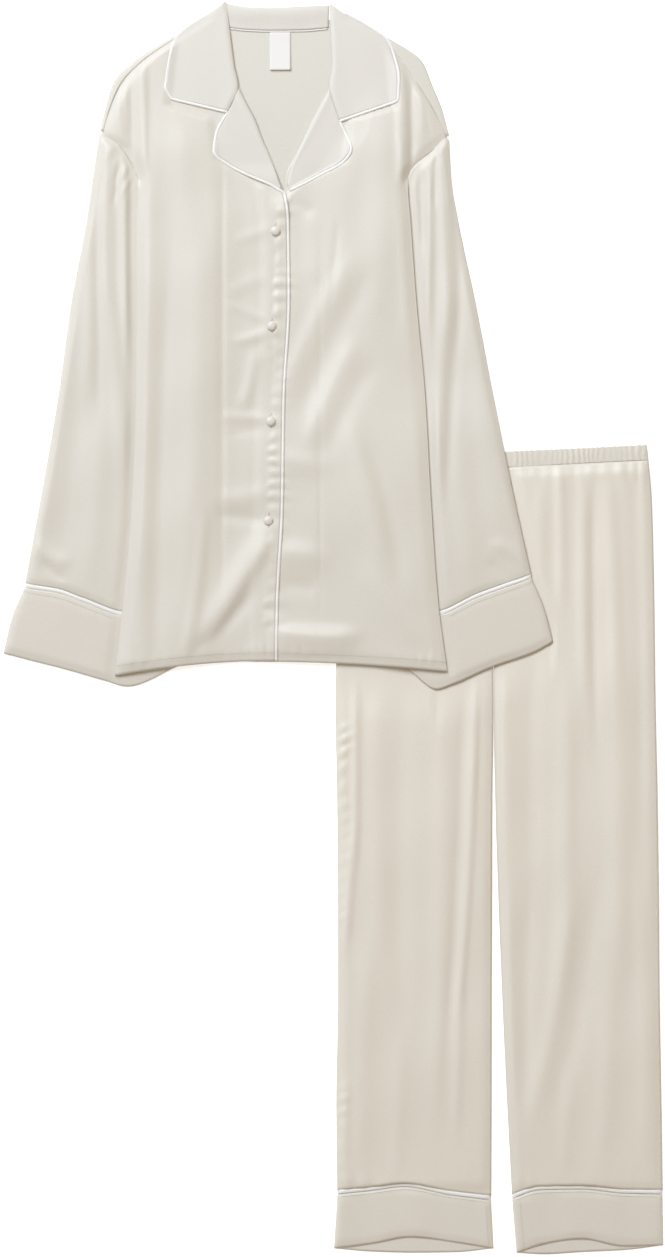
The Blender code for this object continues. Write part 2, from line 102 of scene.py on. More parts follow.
def glide(knots: np.ndarray, values: np.ndarray, at: np.ndarray) -> np.ndarray:
    """Interpolate smoothly without overshoot.

    Args:
        knots: Rising positions of the known values.
        values: Known values, one row per knot.
        at: Positions to read.

    Returns:
        The values at those positions, one row per position.
    """
    knots, values, at = (np.asarray(item, dtype=float) for item in (knots, values, at))
    flat = values.reshape(len(knots), -1)
    step = np.diff(knots)[:, None]
    rise = np.diff(flat, axis=0) / step
    slope = np.empty_like(flat)
    slope[0], slope[-1] = rise[0], rise[-1]
    before, after = rise[:-1], rise[1:]
    same = before * after > 0
    w0, w1 = 2 * step[1:] + step[:-1], step[1:] + 2 * step[:-1]
    safe_before, safe_after = np.where(same, before, 1.0), np.where(same, after, 1.0)
    slope[1:-1] = np.where(same, (w0 + w1) / (w0 / safe_before + w1 / safe_after), 0.0)
    k = np.clip(np.searchsorted(knots, at, side="right") - 1, 0, len(knots) - 2)
    run = step[k]
    t = np.clip((at[:, None] - knots[k][:, None]) / run, 0.0, 1.0)
    h00, h10 = 2 * t**3 - 3 * t**2 + 1, t**3 - 2 * t**2 + t
    h01, h11 = -2 * t**3 + 3 * t**2, t**3 - t**2
    out = h00 * flat[k] + h10 * run * slope[k] + h01 * flat[k + 1] + h11 * run * slope[k + 1]
    return out.reshape((len(at),) + values.shape[1:])


def fine_positions(knots: np.ndarray, runs: np.ndarray, cell: float) -> np.ndarray:
    """Return positions that keep every knot and add evenly spaced ones between them.

    Args:
        knots: Rising positions.
        runs: The real length of each span, in millimetres.
        cell: The longest run allowed between two positions.

    Returns:
        All positions, rising.
    """
    spots = [knots[:1]]
    for start, end, run in zip(knots, knots[1:], runs):
        count = max(1, math.ceil(run / cell))
        spots.append(start + (end - start) * np.arange(1, count + 1) / count)
    return np.concatenate(spots)


def loft(rows: np.ndarray, cell: float = CELL, across: float | None = None) -> np.ndarray:
    """Return a smooth grid through rows of control points.

    Args:
        rows: Array of shape (rows, points, numbers per point).
        cell: Longest run along the rows' stack.
        across: Longest run along a row, or None for the same.

    Returns:
        Array of shape (fine rows, fine points, numbers per point).
    """
    rows = np.asarray(rows, dtype=float)
    down = np.linalg.norm(np.diff(rows[:, :, :2], axis=0), axis=2)
    knots_v = np.concatenate([[0.0], np.cumsum(down.mean(axis=1))])
    tall = glide(knots_v, rows, fine_positions(knots_v, down.max(axis=1), cell))
    wide = np.linalg.norm(np.diff(rows[:, :, :2], axis=1), axis=2)
    knots_u = np.concatenate([[0.0], np.cumsum(wide.mean(axis=0))])
    spots = fine_positions(knots_u, wide.max(axis=0), across or cell)
    return np.transpose(glide(knots_u, np.transpose(tall, (1, 0, 2)), spots), (1, 0, 2))


@dataclass(frozen=True)
class Crease:
    """One soft ridge, or a trough where depth is under 0, along a line that may bow to one side."""

    x0: float
    y0: float
    x1: float
    y1: float
    width: float
    depth: float
    bow: float = 0.0
    skew: float = 0.0
    taper: float = 0.2

    def height(self, x: np.ndarray, y: np.ndarray) -> np.ndarray:
        """Read the crease's height.

        Args:
            x: Places across, in millimetres.
            y: Places up, in millimetres.

        Returns:
            The height at each place, under 0 in a trough.
        """
        run_x, run_y = self.x1 - self.x0, self.y1 - self.y0
        length = math.hypot(run_x, run_y)
        along = ((x - self.x0) * run_x + (y - self.y0) * run_y) / length**2
        aside = ((x - self.x0) * run_y - (y - self.y0) * run_x) / length
        aside = aside - self.bow * 4.0 * along * (1.0 - along)
        width = self.width * np.where(aside > 0, 1.0 + self.skew, 1.0 - self.skew)
        start = ease((along + self.taper) / (2 * self.taper))
        end = ease((1.0 - along + self.taper) / (2 * self.taper))
        return self.depth * np.exp(-((aside / width) ** 2)) * (start * end)


@dataclass(frozen=True)
class Gathers:
    """A run of short uneven folds that start at a seam and die out on its left side."""

    x0: float
    y0: float
    x1: float
    y1: float
    reach: float
    pitch: float
    depth: float
    lean: float = 0.0
    phase: float = 0.0

    def height(self, x: np.ndarray, y: np.ndarray) -> np.ndarray:
        """Read the short folds' height.

        Args:
            x: Places across, in millimetres.
            y: Places up, in millimetres.

        Returns:
            The height at each place.
        """
        run_x, run_y = self.x1 - self.x0, self.y1 - self.y0
        length = math.hypot(run_x, run_y)
        along = ((x - self.x0) * run_x + (y - self.y0) * run_y) / length
        out = ((y - self.y0) * run_x - (x - self.x0) * run_y) / length
        spot = along + self.lean * out + self.phase * self.pitch
        wobble = self.pitch * (0.34 * np.sin(spot / (2.7 * self.pitch) + 1.3)
                               + 0.2 * np.sin(spot / (1.1 * self.pitch)))
        wave = 0.5 + 0.5 * np.cos(2 * math.pi * (spot + wobble) / self.pitch)
        strength = 0.62 + 0.38 * np.sin(spot / (1.9 * self.pitch) + 0.7)
        reach = self.reach * (0.68 + 0.32 * np.sin(spot / (1.3 * self.pitch) + 2.0))
        fade = np.where(out >= 0, np.exp(-((out / reach) ** 2)), np.exp(-((out / SEAM_ROLL) ** 2)))
        inside = ease((along + self.pitch) / self.pitch) * ease((length - along + self.pitch) / self.pitch)
        return self.depth * wave * strength * fade * inside


@dataclass(frozen=True)
class Relief:
    """All the folds of one garment part, on a soft base loft that troughs may sink into."""

    folds: tuple[Crease | Gathers, ...]
    loft: float = 1.6
    ripple: float = 0.22

    def height(self, x: np.ndarray, y: np.ndarray) -> np.ndarray:
        """Read the height of all folds over the flat lay.

        Args:
            x: Places across, in millimetres.
            y: Places up, in millimetres.

        Returns:
            The height at each place, never under 0.
        """
        total = np.full(np.shape(x), self.loft, dtype=float)
        for fold in self.folds:
            total += fold.height(x, y)
        total += self.ripple * (np.sin(x / 19.0 + y / 47.0) + np.sin(x / 31.0 - y / 23.0 + 1.0)
                                + np.sin(y / 37.0 + 2.0))
        return 0.5 * (total + np.sqrt(total * total + 0.5))


# ---------------------------------------------------------------- finishes


@dataclass(frozen=True)
class Ground:
    """A new node material with its shader and a node that gives Object coordinates."""

    material: bpy.types.Material
    shader: bpy.types.Node
    place: bpy.types.Node

    @classmethod
    def start(cls, name: str, roughness: float) -> Ground:
        """Start a material.

        Args:
            name: Name of the finish.
            roughness: Roughness of its surface.

        Returns:
            The material and the two nodes that every finish needs.
        """
        material = bpy.data.materials.new(name)
        material.use_nodes = True
        shader = material.node_tree.nodes["Principled BSDF"]
        shader.inputs["Roughness"].default_value = roughness
        return cls(material, shader, material.node_tree.nodes.new("ShaderNodeTexCoord"))

    def add(self, kind: str, **values: float | tuple[float, ...]) -> bpy.types.Node:
        """Add a node.

        Args:
            kind: Blender's name for the kind of node.
            values: Constant values of its sockets, by name.

        Returns:
            The new node.
        """
        node = self.material.node_tree.nodes.new(kind)
        for socket, value in values.items():
            node.inputs[socket].default_value = value
        return node

    def join(self, source: bpy.types.NodeSocket, target: bpy.types.NodeSocket) -> None:
        """Link one node's output to another's input."""
        self.material.node_tree.links.new(source, target)


@dataclass(frozen=True)
class Satin:
    """Ivory satin: a smooth warp-faced weave with a broad soft sheen."""

    name: str
    colour: tuple[float, float, float]
    roughness: float = 0.47
    sheen: float = 0.25
    sheen_roughness: float = 0.35
    specular: float = 0.6
    tone: float = 0.085      # how far the colour strays either way
    grain: float = 0.62      # share of the fine speckle in that, against slow clouds
    weave: float = 0.00003   # depth of the warp, in metres
    slub: float = 0.00025    # depth of the slubs, in metres
    clouds_per_metre: float = 5.5
    specks_per_metre: float = 620.0
    warps_per_metre: float = 420.0
    slubs_per_metre: float = 60.0

    def material(self) -> bpy.types.Material:
        """Make the finish's node material once.

        Returns:
            The material.
        """
        found = bpy.data.materials.get(self.name)
        if found:
            return found
        ground = Ground.start(self.name, self.roughness)
        ground.shader.inputs["Sheen Weight"].default_value = self.sheen
        ground.shader.inputs["Sheen Roughness"].default_value = self.sheen_roughness
        ground.shader.inputs["Specular IOR Level"].default_value = self.specular
        self.add_tone(ground)
        self.add_weave(ground)
        return ground.material

    def add_tone(self, ground: Ground) -> None:
        """Add the colour, which changes a little in slow clouds and in fine specks.

        Args:
            ground: The material to dress.
        """
        cloudy = ground.add("ShaderNodeTexNoise", Scale=self.clouds_per_metre, Detail=3.0)
        speckle = ground.add("ShaderNodeTexNoise", Scale=self.specks_per_metre, Detail=2.0)
        for noise in (cloudy, speckle):
            ground.join(ground.place.outputs["Object"], noise.inputs["Vector"])
        both = ground.add("ShaderNodeMix", Factor=self.grain)
        ground.join(cloudy.outputs["Fac"], both.inputs["A"])
        ground.join(speckle.outputs["Fac"], both.inputs["B"])
        mix = ground.add("ShaderNodeMix")
        mix.data_type = "RGBA"
        mix.inputs["A"].default_value = (*[part * (1.0 - self.tone) for part in self.colour], 1.0)
        mix.inputs["B"].default_value = (*[min(1.0, part * (1.0 + self.tone)) for part in self.colour], 1.0)
        ground.join(both.outputs["Result"], mix.inputs["Factor"])
        ground.join(mix.outputs["Result"], ground.shader.inputs["Base Color"])

    def add_weave(self, ground: Ground) -> None:
        """Add the fine warp and the faint slubs as bump.

        Args:
            ground: The material to dress.
        """
        warp = ground.add("ShaderNodeTexWave", Scale=self.warps_per_metre, Distortion=1.5, Detail=1.0)
        warp.bands_direction = "X"
        ground.join(ground.place.outputs["Object"], warp.inputs["Vector"])
        fine = ground.add("ShaderNodeBump", Strength=0.35, Distance=self.weave)
        ground.join(warp.outputs["Fac"], fine.inputs["Height"])
        stretch = ground.add("ShaderNodeMapping", Scale=(1.0, 0.35, 1.0))
        ground.join(ground.place.outputs["Object"], stretch.inputs["Vector"])
        slubs = ground.add("ShaderNodeTexNoise", Scale=self.slubs_per_metre, Detail=4.0)
        ground.join(stretch.outputs["Vector"], slubs.inputs["Vector"])
        soft = ground.add("ShaderNodeBump", Strength=0.27, Distance=self.slub)
        ground.join(slubs.outputs["Fac"], soft.inputs["Height"])
        ground.join(fine.outputs["Normal"], soft.inputs["Normal"])
        ground.join(soft.outputs["Normal"], ground.shader.inputs["Normal"])


@dataclass(frozen=True)
class Tape:
    """Plain woven tape or thread, matt."""

    name: str
    colour: tuple[float, float, float]
    roughness: float = 0.75
    pitch: float = 900.0     # checks in a metre
    shade: float = 0.95      # brightness of every other check

    def material(self) -> bpy.types.Material:
        """Make the finish's node material once.

        Returns:
            The material.
        """
        found = bpy.data.materials.get(self.name)
        if found:
            return found
        ground = Ground.start(self.name, self.roughness)
        weave = ground.add("ShaderNodeTexChecker", Scale=self.pitch)
        weave.inputs["Color1"].default_value = (*self.colour, 1.0)
        weave.inputs["Color2"].default_value = (*[part * self.shade for part in self.colour], 1.0)
        ground.join(ground.place.outputs["Object"], weave.inputs["Vector"])
        ground.join(weave.outputs["Color"], ground.shader.inputs["Base Color"])
        return ground.material


SHIRT_SATIN = Satin("ivory_satin_shirt", (0.738, 0.695, 0.618))
BACK_SATIN = Satin("ivory_satin_back", (0.722, 0.688, 0.612), roughness=0.5)
CUFF_SATIN = Satin("ivory_satin_cuffs", (0.744, 0.694, 0.617))
LEG_CUFF_SATIN = Satin("ivory_satin_leg_cuffs", (0.784, 0.736, 0.656))
WAIST_SATIN = Satin("ivory_satin_waistband", (0.757, 0.714, 0.637))
TROUSER_SATIN = Satin("ivory_satin_trousers", (0.811, 0.760, 0.668))
COLLAR_SATIN = Satin("ivory_satin_collar", (0.744, 0.708, 0.647), roughness=0.50)
PIPING_SATIN = Satin("white_satin_piping", (0.900, 0.890, 0.870), roughness=0.5, slub=0.00005)
BUTTON_SATIN = Satin("ivory_satin_buttons", (0.760, 0.720, 0.660), roughness=0.4, slub=0.00005)
THREAD = Tape("ivory_thread", (0.700, 0.655, 0.580))
LABEL_TAPE = Tape("white_label_tape", (0.880, 0.865, 0.835))


# ---------------------------------------------------------------- making meshes


def grid_mesh(name: str, points: np.ndarray, merge: bool = False) -> bpy.types.Mesh:
    """Return a mesh of a grid warped to the given points.

    Args:
        name: Name of the mesh.
        points: Array (rows, points, 3), in metres.
        merge: Whether the first and last columns lie on each other and are joined.

    Returns:
        The new mesh.
    """
    count_y, count_x = points.shape[:2]
    bm = bmesh.new()
    bmesh.ops.create_grid(bm, x_segments=count_x - 1, y_segments=count_y - 1, size=0.5)
    mesh = bpy.data.meshes.new(name)
    bm.to_mesh(mesh)
    start = np.empty(len(mesh.vertices) * 3)
    mesh.vertices.foreach_get("co", start)
    start = start.reshape(-1, 3)
    order = np.lexsort((np.round(start[:, 0], 5), np.round(start[:, 1], 5)))
    placed = np.empty_like(start)
    placed[order] = points.reshape(-1, 3)
    mesh.vertices.foreach_set("co", placed.ravel())
    bm.free()
    if merge:
        bm = bmesh.new()
        bm.from_mesh(mesh)
        bmesh.ops.remove_doubles(bm, verts=bm.verts, dist=1e-7)
        bm.to_mesh(mesh)
        bm.free()
    mesh.update()
    return mesh


def face_up(mesh: bpy.types.Mesh) -> None:
    """Turn a laid mesh's faces over where they look down on the whole.

    Args:
        mesh: The mesh to mend.
    """
    bm = bmesh.new()
    bm.from_mesh(mesh)
    bm.normal_update()
    if sum(face.normal.z * face.calc_area() for face in bm.faces) <= 0:
        bmesh.ops.reverse_faces(bm, faces=bm.faces)
        bm.to_mesh(mesh)
    bm.free()


def add_piece(name: str, mesh: bpy.types.Mesh, finish: Satin | Tape,
              nodes: tuple[str, ...] = ()) -> bpy.types.Object:
    """Link a finished mesh as a piece that rides on the set.

    Args:
        name: Name of the piece.
        mesh: Its mesh, in place.
        finish: The finish that it wears.
        nodes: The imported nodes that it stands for.

    Returns:
        The new object.
    """
    mesh.materials.clear()
    mesh.materials.append(finish.material())
    mesh.shade_smooth()
    piece = bpy.data.objects.new(name, mesh)
    bpy.context.scene.collection.objects.link(piece)
    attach(piece, ROOT)
    if nodes:
        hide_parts(*nodes)
    LOG.info("%s: %d faces", name, len(mesh.polygons))
    return piece


def add_wall(piece: bpy.types.Object, offset: float, thickness: float = WALL) -> None:
    """Give an open surface its cloth wall.

    Args:
        piece: The piece.
        offset: 1 for a wall outward of the surface and -1 for one inward.
        thickness: Thickness of the wall, in millimetres.
    """
    wall = piece.modifiers.new("Wall", "SOLIDIFY")
    wall.thickness = thickness * MM
    wall.offset = offset
    wall.use_even_offset = False


def flat_area(points: np.ndarray) -> float:
    """Measure a grid of points as seen from above.

    Args:
        points: Array (rows, points, 2 or 3).

    Returns:
        The area, in the points' own unit squared.
    """
    x, y = points[:, :, 0], points[:, :, 1]
    across_x, across_y = x[1:, 1:] - x[:-1, :-1], y[1:, 1:] - y[:-1, :-1]
    back_x, back_y = x[1:, :-1] - x[:-1, 1:], y[1:, :-1] - y[:-1, 1:]
    return float(np.abs(across_x * back_y - across_y * back_x).sum() / 2)


def declare_sheet(grids: list[np.ndarray], layers: int = 1) -> None:
    """Work out the cut of a laid piece, its area, width and length, which are not passed on.

    Args:
        grids: Its flat grids, in metres.
        layers: 2 for a tube, whose cut runs all round.
    """
    area = layers * sum(flat_area(grid) for grid in grids)
    main = grids[0][..., :2]
    width = layers * float(np.linalg.norm(np.diff(main, axis=1), axis=2).sum(axis=1).max())
    length = max(LEAST_CUT, float(np.linalg.norm(np.diff(main, axis=0), axis=2).sum(axis=0).max()))
    area = min(area, width * length)


def in_metres(x: np.ndarray, y: np.ndarray, z: np.ndarray, place: Place) -> np.ndarray:
    """Return points of a garment's frame as an array in metres of the set's frame."""
    return np.stack([x + place[0], y + place[1], z], axis=-1) * MM


def from_folds(flat: np.ndarray) -> np.ndarray:
    """Measure how far each point of a flattened tube lies from the nearer of its two side folds.

    Args:
        flat: Grid of x, y across the tube, from fold to fold.

    Returns:
        The distances along each row.
    """
    runs = np.hypot(np.diff(flat[..., 0]), np.diff(flat[..., 1]))
    wide = np.concatenate([np.zeros((len(flat), 1)), np.cumsum(runs, axis=1)], axis=1)
    return np.minimum(wide, wide[:, -1:] - wide)


def rounded(near: np.ndarray) -> np.ndarray:
    """Return the share of its full height that a tube has at distances from its side fold."""
    return np.sqrt(1.0 - (1.0 - np.clip(near / FOLD_ROUND, 0, 1)) ** 2)


def tube_mesh(name: str, upper: np.ndarray, lower: np.ndarray) -> bpy.types.Mesh:
    """Return a flattened tube whose upper and lower layers meet at their two folds.

    Args:
        name: Name of the mesh.
        upper: Grid of the upper layer, in metres, outer surface.
        lower: Grid of the lower layer, with as many rows and columns.

    Returns:
        The tube's outer surface, faces outward.
    """
    ring = np.concatenate([lower, upper[:, ::-1], lower[:, :1]], axis=1)
    mesh = grid_mesh(name, ring, merge=True)
    bm = bmesh.new()
    bm.from_mesh(mesh)
    bmesh.ops.recalc_face_normals(bm, faces=bm.faces)
    bm.to_mesh(mesh)
    bm.free()
    top = max(mesh.polygons, key=lambda face: face.center.z + face.normal.z * 0.001)
    if top.normal.z < 0:
        mesh.flip_normals()
    return mesh


def sweep_mesh(name: str, path: np.ndarray, width: float, height: float, sides: int = 10) -> bpy.types.Mesh:
    """Return a closed cord of oval section along a path.

    Args:
        name: Name of the mesh.
        path: Points (n, 3), in metres.
        width: Section's size across, in metres.
        height: Section's size upward, in metres.
        sides: Number of sides.

    Returns:
        The new mesh.
    """
    ahead = np.gradient(path, axis=0)
    ahead /= np.linalg.norm(ahead, axis=1, keepdims=True)
    across = np.cross(ahead, (0.0, 0.0, 1.0))
    across /= np.linalg.norm(across, axis=1, keepdims=True)
    up = np.cross(across, ahead)
    turn = np.linspace(0.0, 2 * math.pi, sides + 1)
    ends = np.ones(len(path))
    ends[0] = ends[-1] = 0.6
    ring = (path[:, None] + across[:, None] * (np.cos(turn) * width / 2)[None, :, None] * ends[:, None, None]
            + up[:, None] * (np.sin(turn) * height / 2)[None, :, None] * ends[:, None, None])
    mesh = grid_mesh(name, ring, merge=True)
    bm = bmesh.new()
    bm.from_mesh(mesh)
    rims = [edge for edge in bm.edges if edge.is_boundary]
    bmesh.ops.holes_fill(bm, edges=rims, sides=0)
    bmesh.ops.recalc_face_normals(bm, faces=bm.faces)
    bm.to_mesh(mesh)
    bm.free()
    return mesh


def resample(path: np.ndarray, pitch: float) -> np.ndarray:
    """Space a path's points evenly, both ends kept.

    Args:
        path: Array (points, 2 or 3).
        pitch: Wanted distance between points, in the path's unit.

    Returns:
        The evenly spaced points.
    """
    reach = np.concatenate([[0.0], np.cumsum(np.linalg.norm(np.diff(path, axis=0), axis=1))])
    keep = np.concatenate([[True], np.diff(reach) > 1e-9])
    count = max(2, int(round(reach[-1] / pitch)) + 1)
    spots = np.linspace(0.0, reach[-1], count)
    return np.stack([np.interp(spots, reach[keep], path[keep, k]) for k in range(path.shape[1])], axis=1)


def moved_aside(path: np.ndarray, distance: float) -> np.ndarray:
    """Move a path sideways, as seen from above.

    Args:
        path: Array (points, 2 or 3).
        distance: How far to its left, or to its right where under 0.

    Returns:
        The moved path.
    """
    ahead = np.gradient(path[:, :2], axis=0)
    ahead /= np.linalg.norm(ahead, axis=1, keepdims=True)
    moved = path.copy()
    moved[:, 0] -= ahead[:, 1] * distance
    moved[:, 1] += ahead[:, 0] * distance
    return moved


@dataclass(frozen=True)
class StitchRow:
    """A row of machine stitches laid along a path on top of the cloth."""

    pitch: float = 2.9
    length: float = 2.1
    thread: float = 0.42

    def build(self, name: str, path: np.ndarray, finish: Tape, slot: str) -> bpy.types.Object:
        """Make the row.

        Args:
            name: Name of the piece.
            path: Points in metres on the cloth's surface.
            finish: The thread's finish.
            slot: Not used.

        Returns:
            The new piece.
        """
        spots = resample(path, self.pitch * MM)
        bm = bmesh.new()
        for start, end in zip(spots, spots[1:]):
            ahead = Vector(end - start).normalized()
            across = ahead.cross(Vector((0, 0, 1))).normalized()
            turn = Matrix((ahead, across, across.cross(ahead))).transposed().to_4x4()
            size = Matrix.Diagonal((self.length * MM, self.thread * MM, self.thread * MM, 1.0))
            where = Matrix.Translation(Vector((start + end) / 2))
            bmesh.ops.create_cube(bm, size=1.0, matrix=where @ turn @ size)
        mesh = bpy.data.meshes.new(name)
        bm.to_mesh(mesh)
        bm.free()
        return add_piece(name, mesh, finish)


# ---------------------------------------------------------------- shirt


@dataclass
class ShirtLay:
    """Outline, support and folds of the shirt's body, shared by everything that lies on it."""

    place: Place
    trousers_left: float
    trousers_top: float
    left: Table = (
        # y side, y centre, then x: side, fold foot, fold crest, shelf end, slope foot, overlap start,
        # overlap far side, edge or roll line; lift at the side, lift at the crest.
        (-7, 11, -199, -194, -188, -120, -64, -42, -29, -7, 1.0, 1.0),
        (72, 77, -190, -185, -179, -114, -59, -41, -28, -6, 1.0, 1.0),
        (196, 196, -179, -173, -168, -106, -52, -35, -22, 0, 1.0, 1.0),
        (324, 324, -174, -169, -163, -95, -44, -33, -20, 2, 1.0, 1.0),
        (444, 444, -173, -168, -162, -84, -40, -27, -14, 8, 1.0, 1.0),
        (540, 540, -173, -167, -161, -82, -40, -28, -15, 7, 1.0, 1.0),
        (583, 575, -171, -167, -161, -91, -46, -33, -20, 2, 1.0, 1.0),
        (593, 593, -173, -168, -161, -95, -51, -38, -26, -4, 0.0, 1.0),
        (620, 624, -187, -170, -162, -109, -66, -53, -41, -17, 0.0, 0.85),
        (644, 644, -214, -172, -162, -119, -75, -62, -49, -26, 0.0, 0.65),
        (674, 678, -205, -170, -162, -131, -91, -76, -64, -41, 0.0, 0.35),
        (702, 702, -192, -172, -163, -139, -107, -86, -74, -51, 0.0, 0.15),
        (728, 730, -168, -164, -158, -145, -115, -94, -84, -62, 0.0, 0.0),
        (755, 755, -130, -127, -124, -116, -106, -98, -88, -68, 0.0, 0.0),
        (779, 780, -91, -89, -87, -85, -83, -81, -78, -72, 0.0, 0.0),
    )
    right: Table = (
        (-2, 10, 199, 193, 187, 164, 104, 20, -7, -29, 1.0, 1.0),
        (74, 77, 189, 184, 179, 143, 85, 20, -6, -28, 1.0, 1.0),
        (196, 196, 180, 175, 169, 107, 47, 16, 0, -22, 1.0, 1.0),
        (324, 324, 173, 167, 162, 91, 32, 12, 2, -20, 1.0, 1.0),
        (444, 444, 162, 157, 151, 80, 25, 14, 8, -14, 1.0, 1.0),
        (540, 540, 155, 149, 144, 78, 24, 14, 7, -15, 1.0, 1.0),
        (583, 575, 152, 147, 142, 85, 28, 16, 10, 3, 1.0, 1.0),
        (599, 593, 156, 149, 142, 89, 38, 30, 26, 5, 0.0, 1.0),
        (622, 624, 180, 150, 143, 95, 54, 48, 42, 20, 0.0, 0.85),
        (638, 644, 199, 149, 140, 104, 66, 58, 50, 29, 0.0, 0.65),
        (670, 678, 184, 148, 139, 112, 80, 74, 67, 46, 0.0, 0.35),
        (702, 702, 164, 146, 139, 119, 90, 84, 79, 58, 0.0, 0.15),
        (729, 730, 145, 142, 136, 124, 100, 94, 84, 62, 0.0, 0.0),
        (758, 755, 122, 120, 116, 112, 104, 98, 88, 68, 0.0, 0.0),
        (780, 780, 85, 83, 81, 80, 79, 77, 75, 70, 0.0, 0.0),
    )
    relief: Relief = field(default_factory=lambda: BODY_RELIEF)

    def table(self, side: Side) -> np.ndarray:
        """Return one side's table as an array."""
        return np.array(self.left if side is Side.LEFT else self.right, dtype=float)

    def step_up(self, x: np.ndarray, y: np.ndarray) -> np.ndarray:
        """Measure how far the shirt rises where it lies over the trousers.

        Args:
            x: Places across, in millimetres of the shirt's frame.
            y: Places up.

        Returns:
            The rise at each place.
        """
        set_x, set_y = x + self.place[0], y + self.place[1]
        return (STEP * ease((set_x - self.trousers_left + RAMP) / RAMP)
                * ease((self.trousers_top + RAMP - set_y) / RAMP))

    def columns(self, side: Side, y: np.ndarray) -> np.ndarray:
        """Return the ten columns x side .. x edge, lift side, lift crest at heights y."""
        table = self.table(side)
        return glide(table[:, 1], table[:, 2:], np.ravel(y)).reshape(np.shape(y) + (10,))

    def lift(self, x: np.ndarray, y: np.ndarray) -> np.ndarray:
        """Measure how far the body is lifted by the sleeves under it.

        Args:
            x: Places across, in millimetres.
            y: Places up.

        Returns:
            The share of LIFT at each place.
        """
        x, y = np.asarray(x, dtype=float), np.asarray(y, dtype=float)
        out = np.zeros(np.shape(x))
        for side in Side:
            spots = self.columns(side, y)
            places = np.abs(spots[..., :6])
            lifts = np.stack([spots[..., 8], spots[..., 8], spots[..., 9], spots[..., 9]]
                             + [np.zeros(np.shape(x))] * 2, axis=-1)
            value = np.where(np.abs(x) >= places[..., 0], lifts[..., 0], 0.0)
            for k in range(5):
                near, far = places[..., k], places[..., k + 1]
                share = (np.abs(x) - far) / np.maximum(near - far, 1e-6)
                here = lifts[..., k + 1] + (lifts[..., k] - lifts[..., k + 1]) * share
                value = np.where((np.abs(x) <= near) & (np.abs(x) >= far), here, value)
            out = np.where((x < 0) == (side is Side.LEFT), value, out)
        return out

    def base(self, x: np.ndarray, y: np.ndarray) -> np.ndarray:
        """Return the height of what the shirt's back lies on."""
        return LIFT * ease(self.lift(x, y)) + self.step_up(x, y)

    def folds(self, x: np.ndarray, y: np.ndarray) -> np.ndarray:
        """Read the fronts' folds, which are low under the collar, along the side folds and at the hem.

        Args:
            x: Places across, in millimetres.
            y: Places up.

        Returns:
            The folds' height at each place.
        """
        left, right = self.columns(Side.LEFT, y)[..., 0], self.columns(Side.RIGHT, y)[..., 0]
        inward = np.minimum(x - left, right - x)
        # half width that the lapels and the collar cover, by height
        collar = np.interp(y, (560.0, 580.0, 610.0, 660.0, 675.0, 760.0, 790.0),
                           (0.0, 20.0, 78.0, 85.0, 138.0, 128.0, 95.0))
        calm = ease((y - 552.0) / 12.0) * ease((collar + 6.0 - np.abs(x)) / 14.0)
        # height of the hem's curved edge, by place across
        hem = np.interp(x, (-199.0, -150.0, -60.0, 60.0, 150.0, 199.0), (-7.0, 0.0, 10.0, 9.0, 2.0, -2.0))
        edges = (0.12 + 0.88 * ease(inward / 16.0)) * (0.3 + 0.7 * ease((y - hem) / 16.0))
        return self.relief.height(x, y) * edges * (1.0 - 0.8 * calm)

    def front(self, x: np.ndarray, y: np.ndarray) -> np.ndarray:
        """Return the upper surface of the fronts at x, y, without the overlap."""
        return self.base(x, y) + LAYER + self.folds(x, y) + WALL

    def crossing(self, x: np.ndarray, y: np.ndarray) -> np.ndarray:
        """Measure how far the left front rises where it lies over the right one.

        Args:
            x: Places across, in millimetres.
            y: Places up.

        Returns:
            The rise at each place, with the roll of the lapels at the top of the placket.
        """
        spots = self.columns(Side.LEFT, y)
        over = LAYER * ease((x - spots[..., 5]) / (spots[..., 6] - spots[..., 5])) * ease((588.0 - y) / 12.0)
        return over + 2.2 * ease((x + 16.0) / 16.0) * np.exp(-(((y - 556.0) / 16.0) ** 2))

    def side_points(self, side: Side) -> tuple[np.ndarray, np.ndarray]:
        """Lay out one side's grid.

        Args:
            side: The side.

        Returns:
            The x and the y of its points, from the side edge to the far edge, hem first.
        """
        table = self.table(side)
        y_side, y_centre, places = table[:, 0], table[:, 1], table[:, 2:10]
        rows = fine_positions(y_centre, np.abs(np.diff(y_centre)), CELL)
        x = glide(y_centre, places, rows)
        runs = np.abs(np.diff(places, axis=1)).max(axis=0)
        count = places.shape[1]
        spots = fine_positions(np.arange(float(count)), runs, CELL)
        low = np.clip(spots.astype(int), 0, count - 2)
        x = x[:, low] + (x[:, low + 1] - x[:, low]) * (spots - low)
        drop = glide(y_centre, (y_side - y_centre)[:, None], rows)
        edge, far = x[:, :1], x[:, -1:]
        across = 1.0 - np.clip((x - edge) / (far - edge), 0.0, 1.0)
        return x, rows[:, None] + drop * across * across


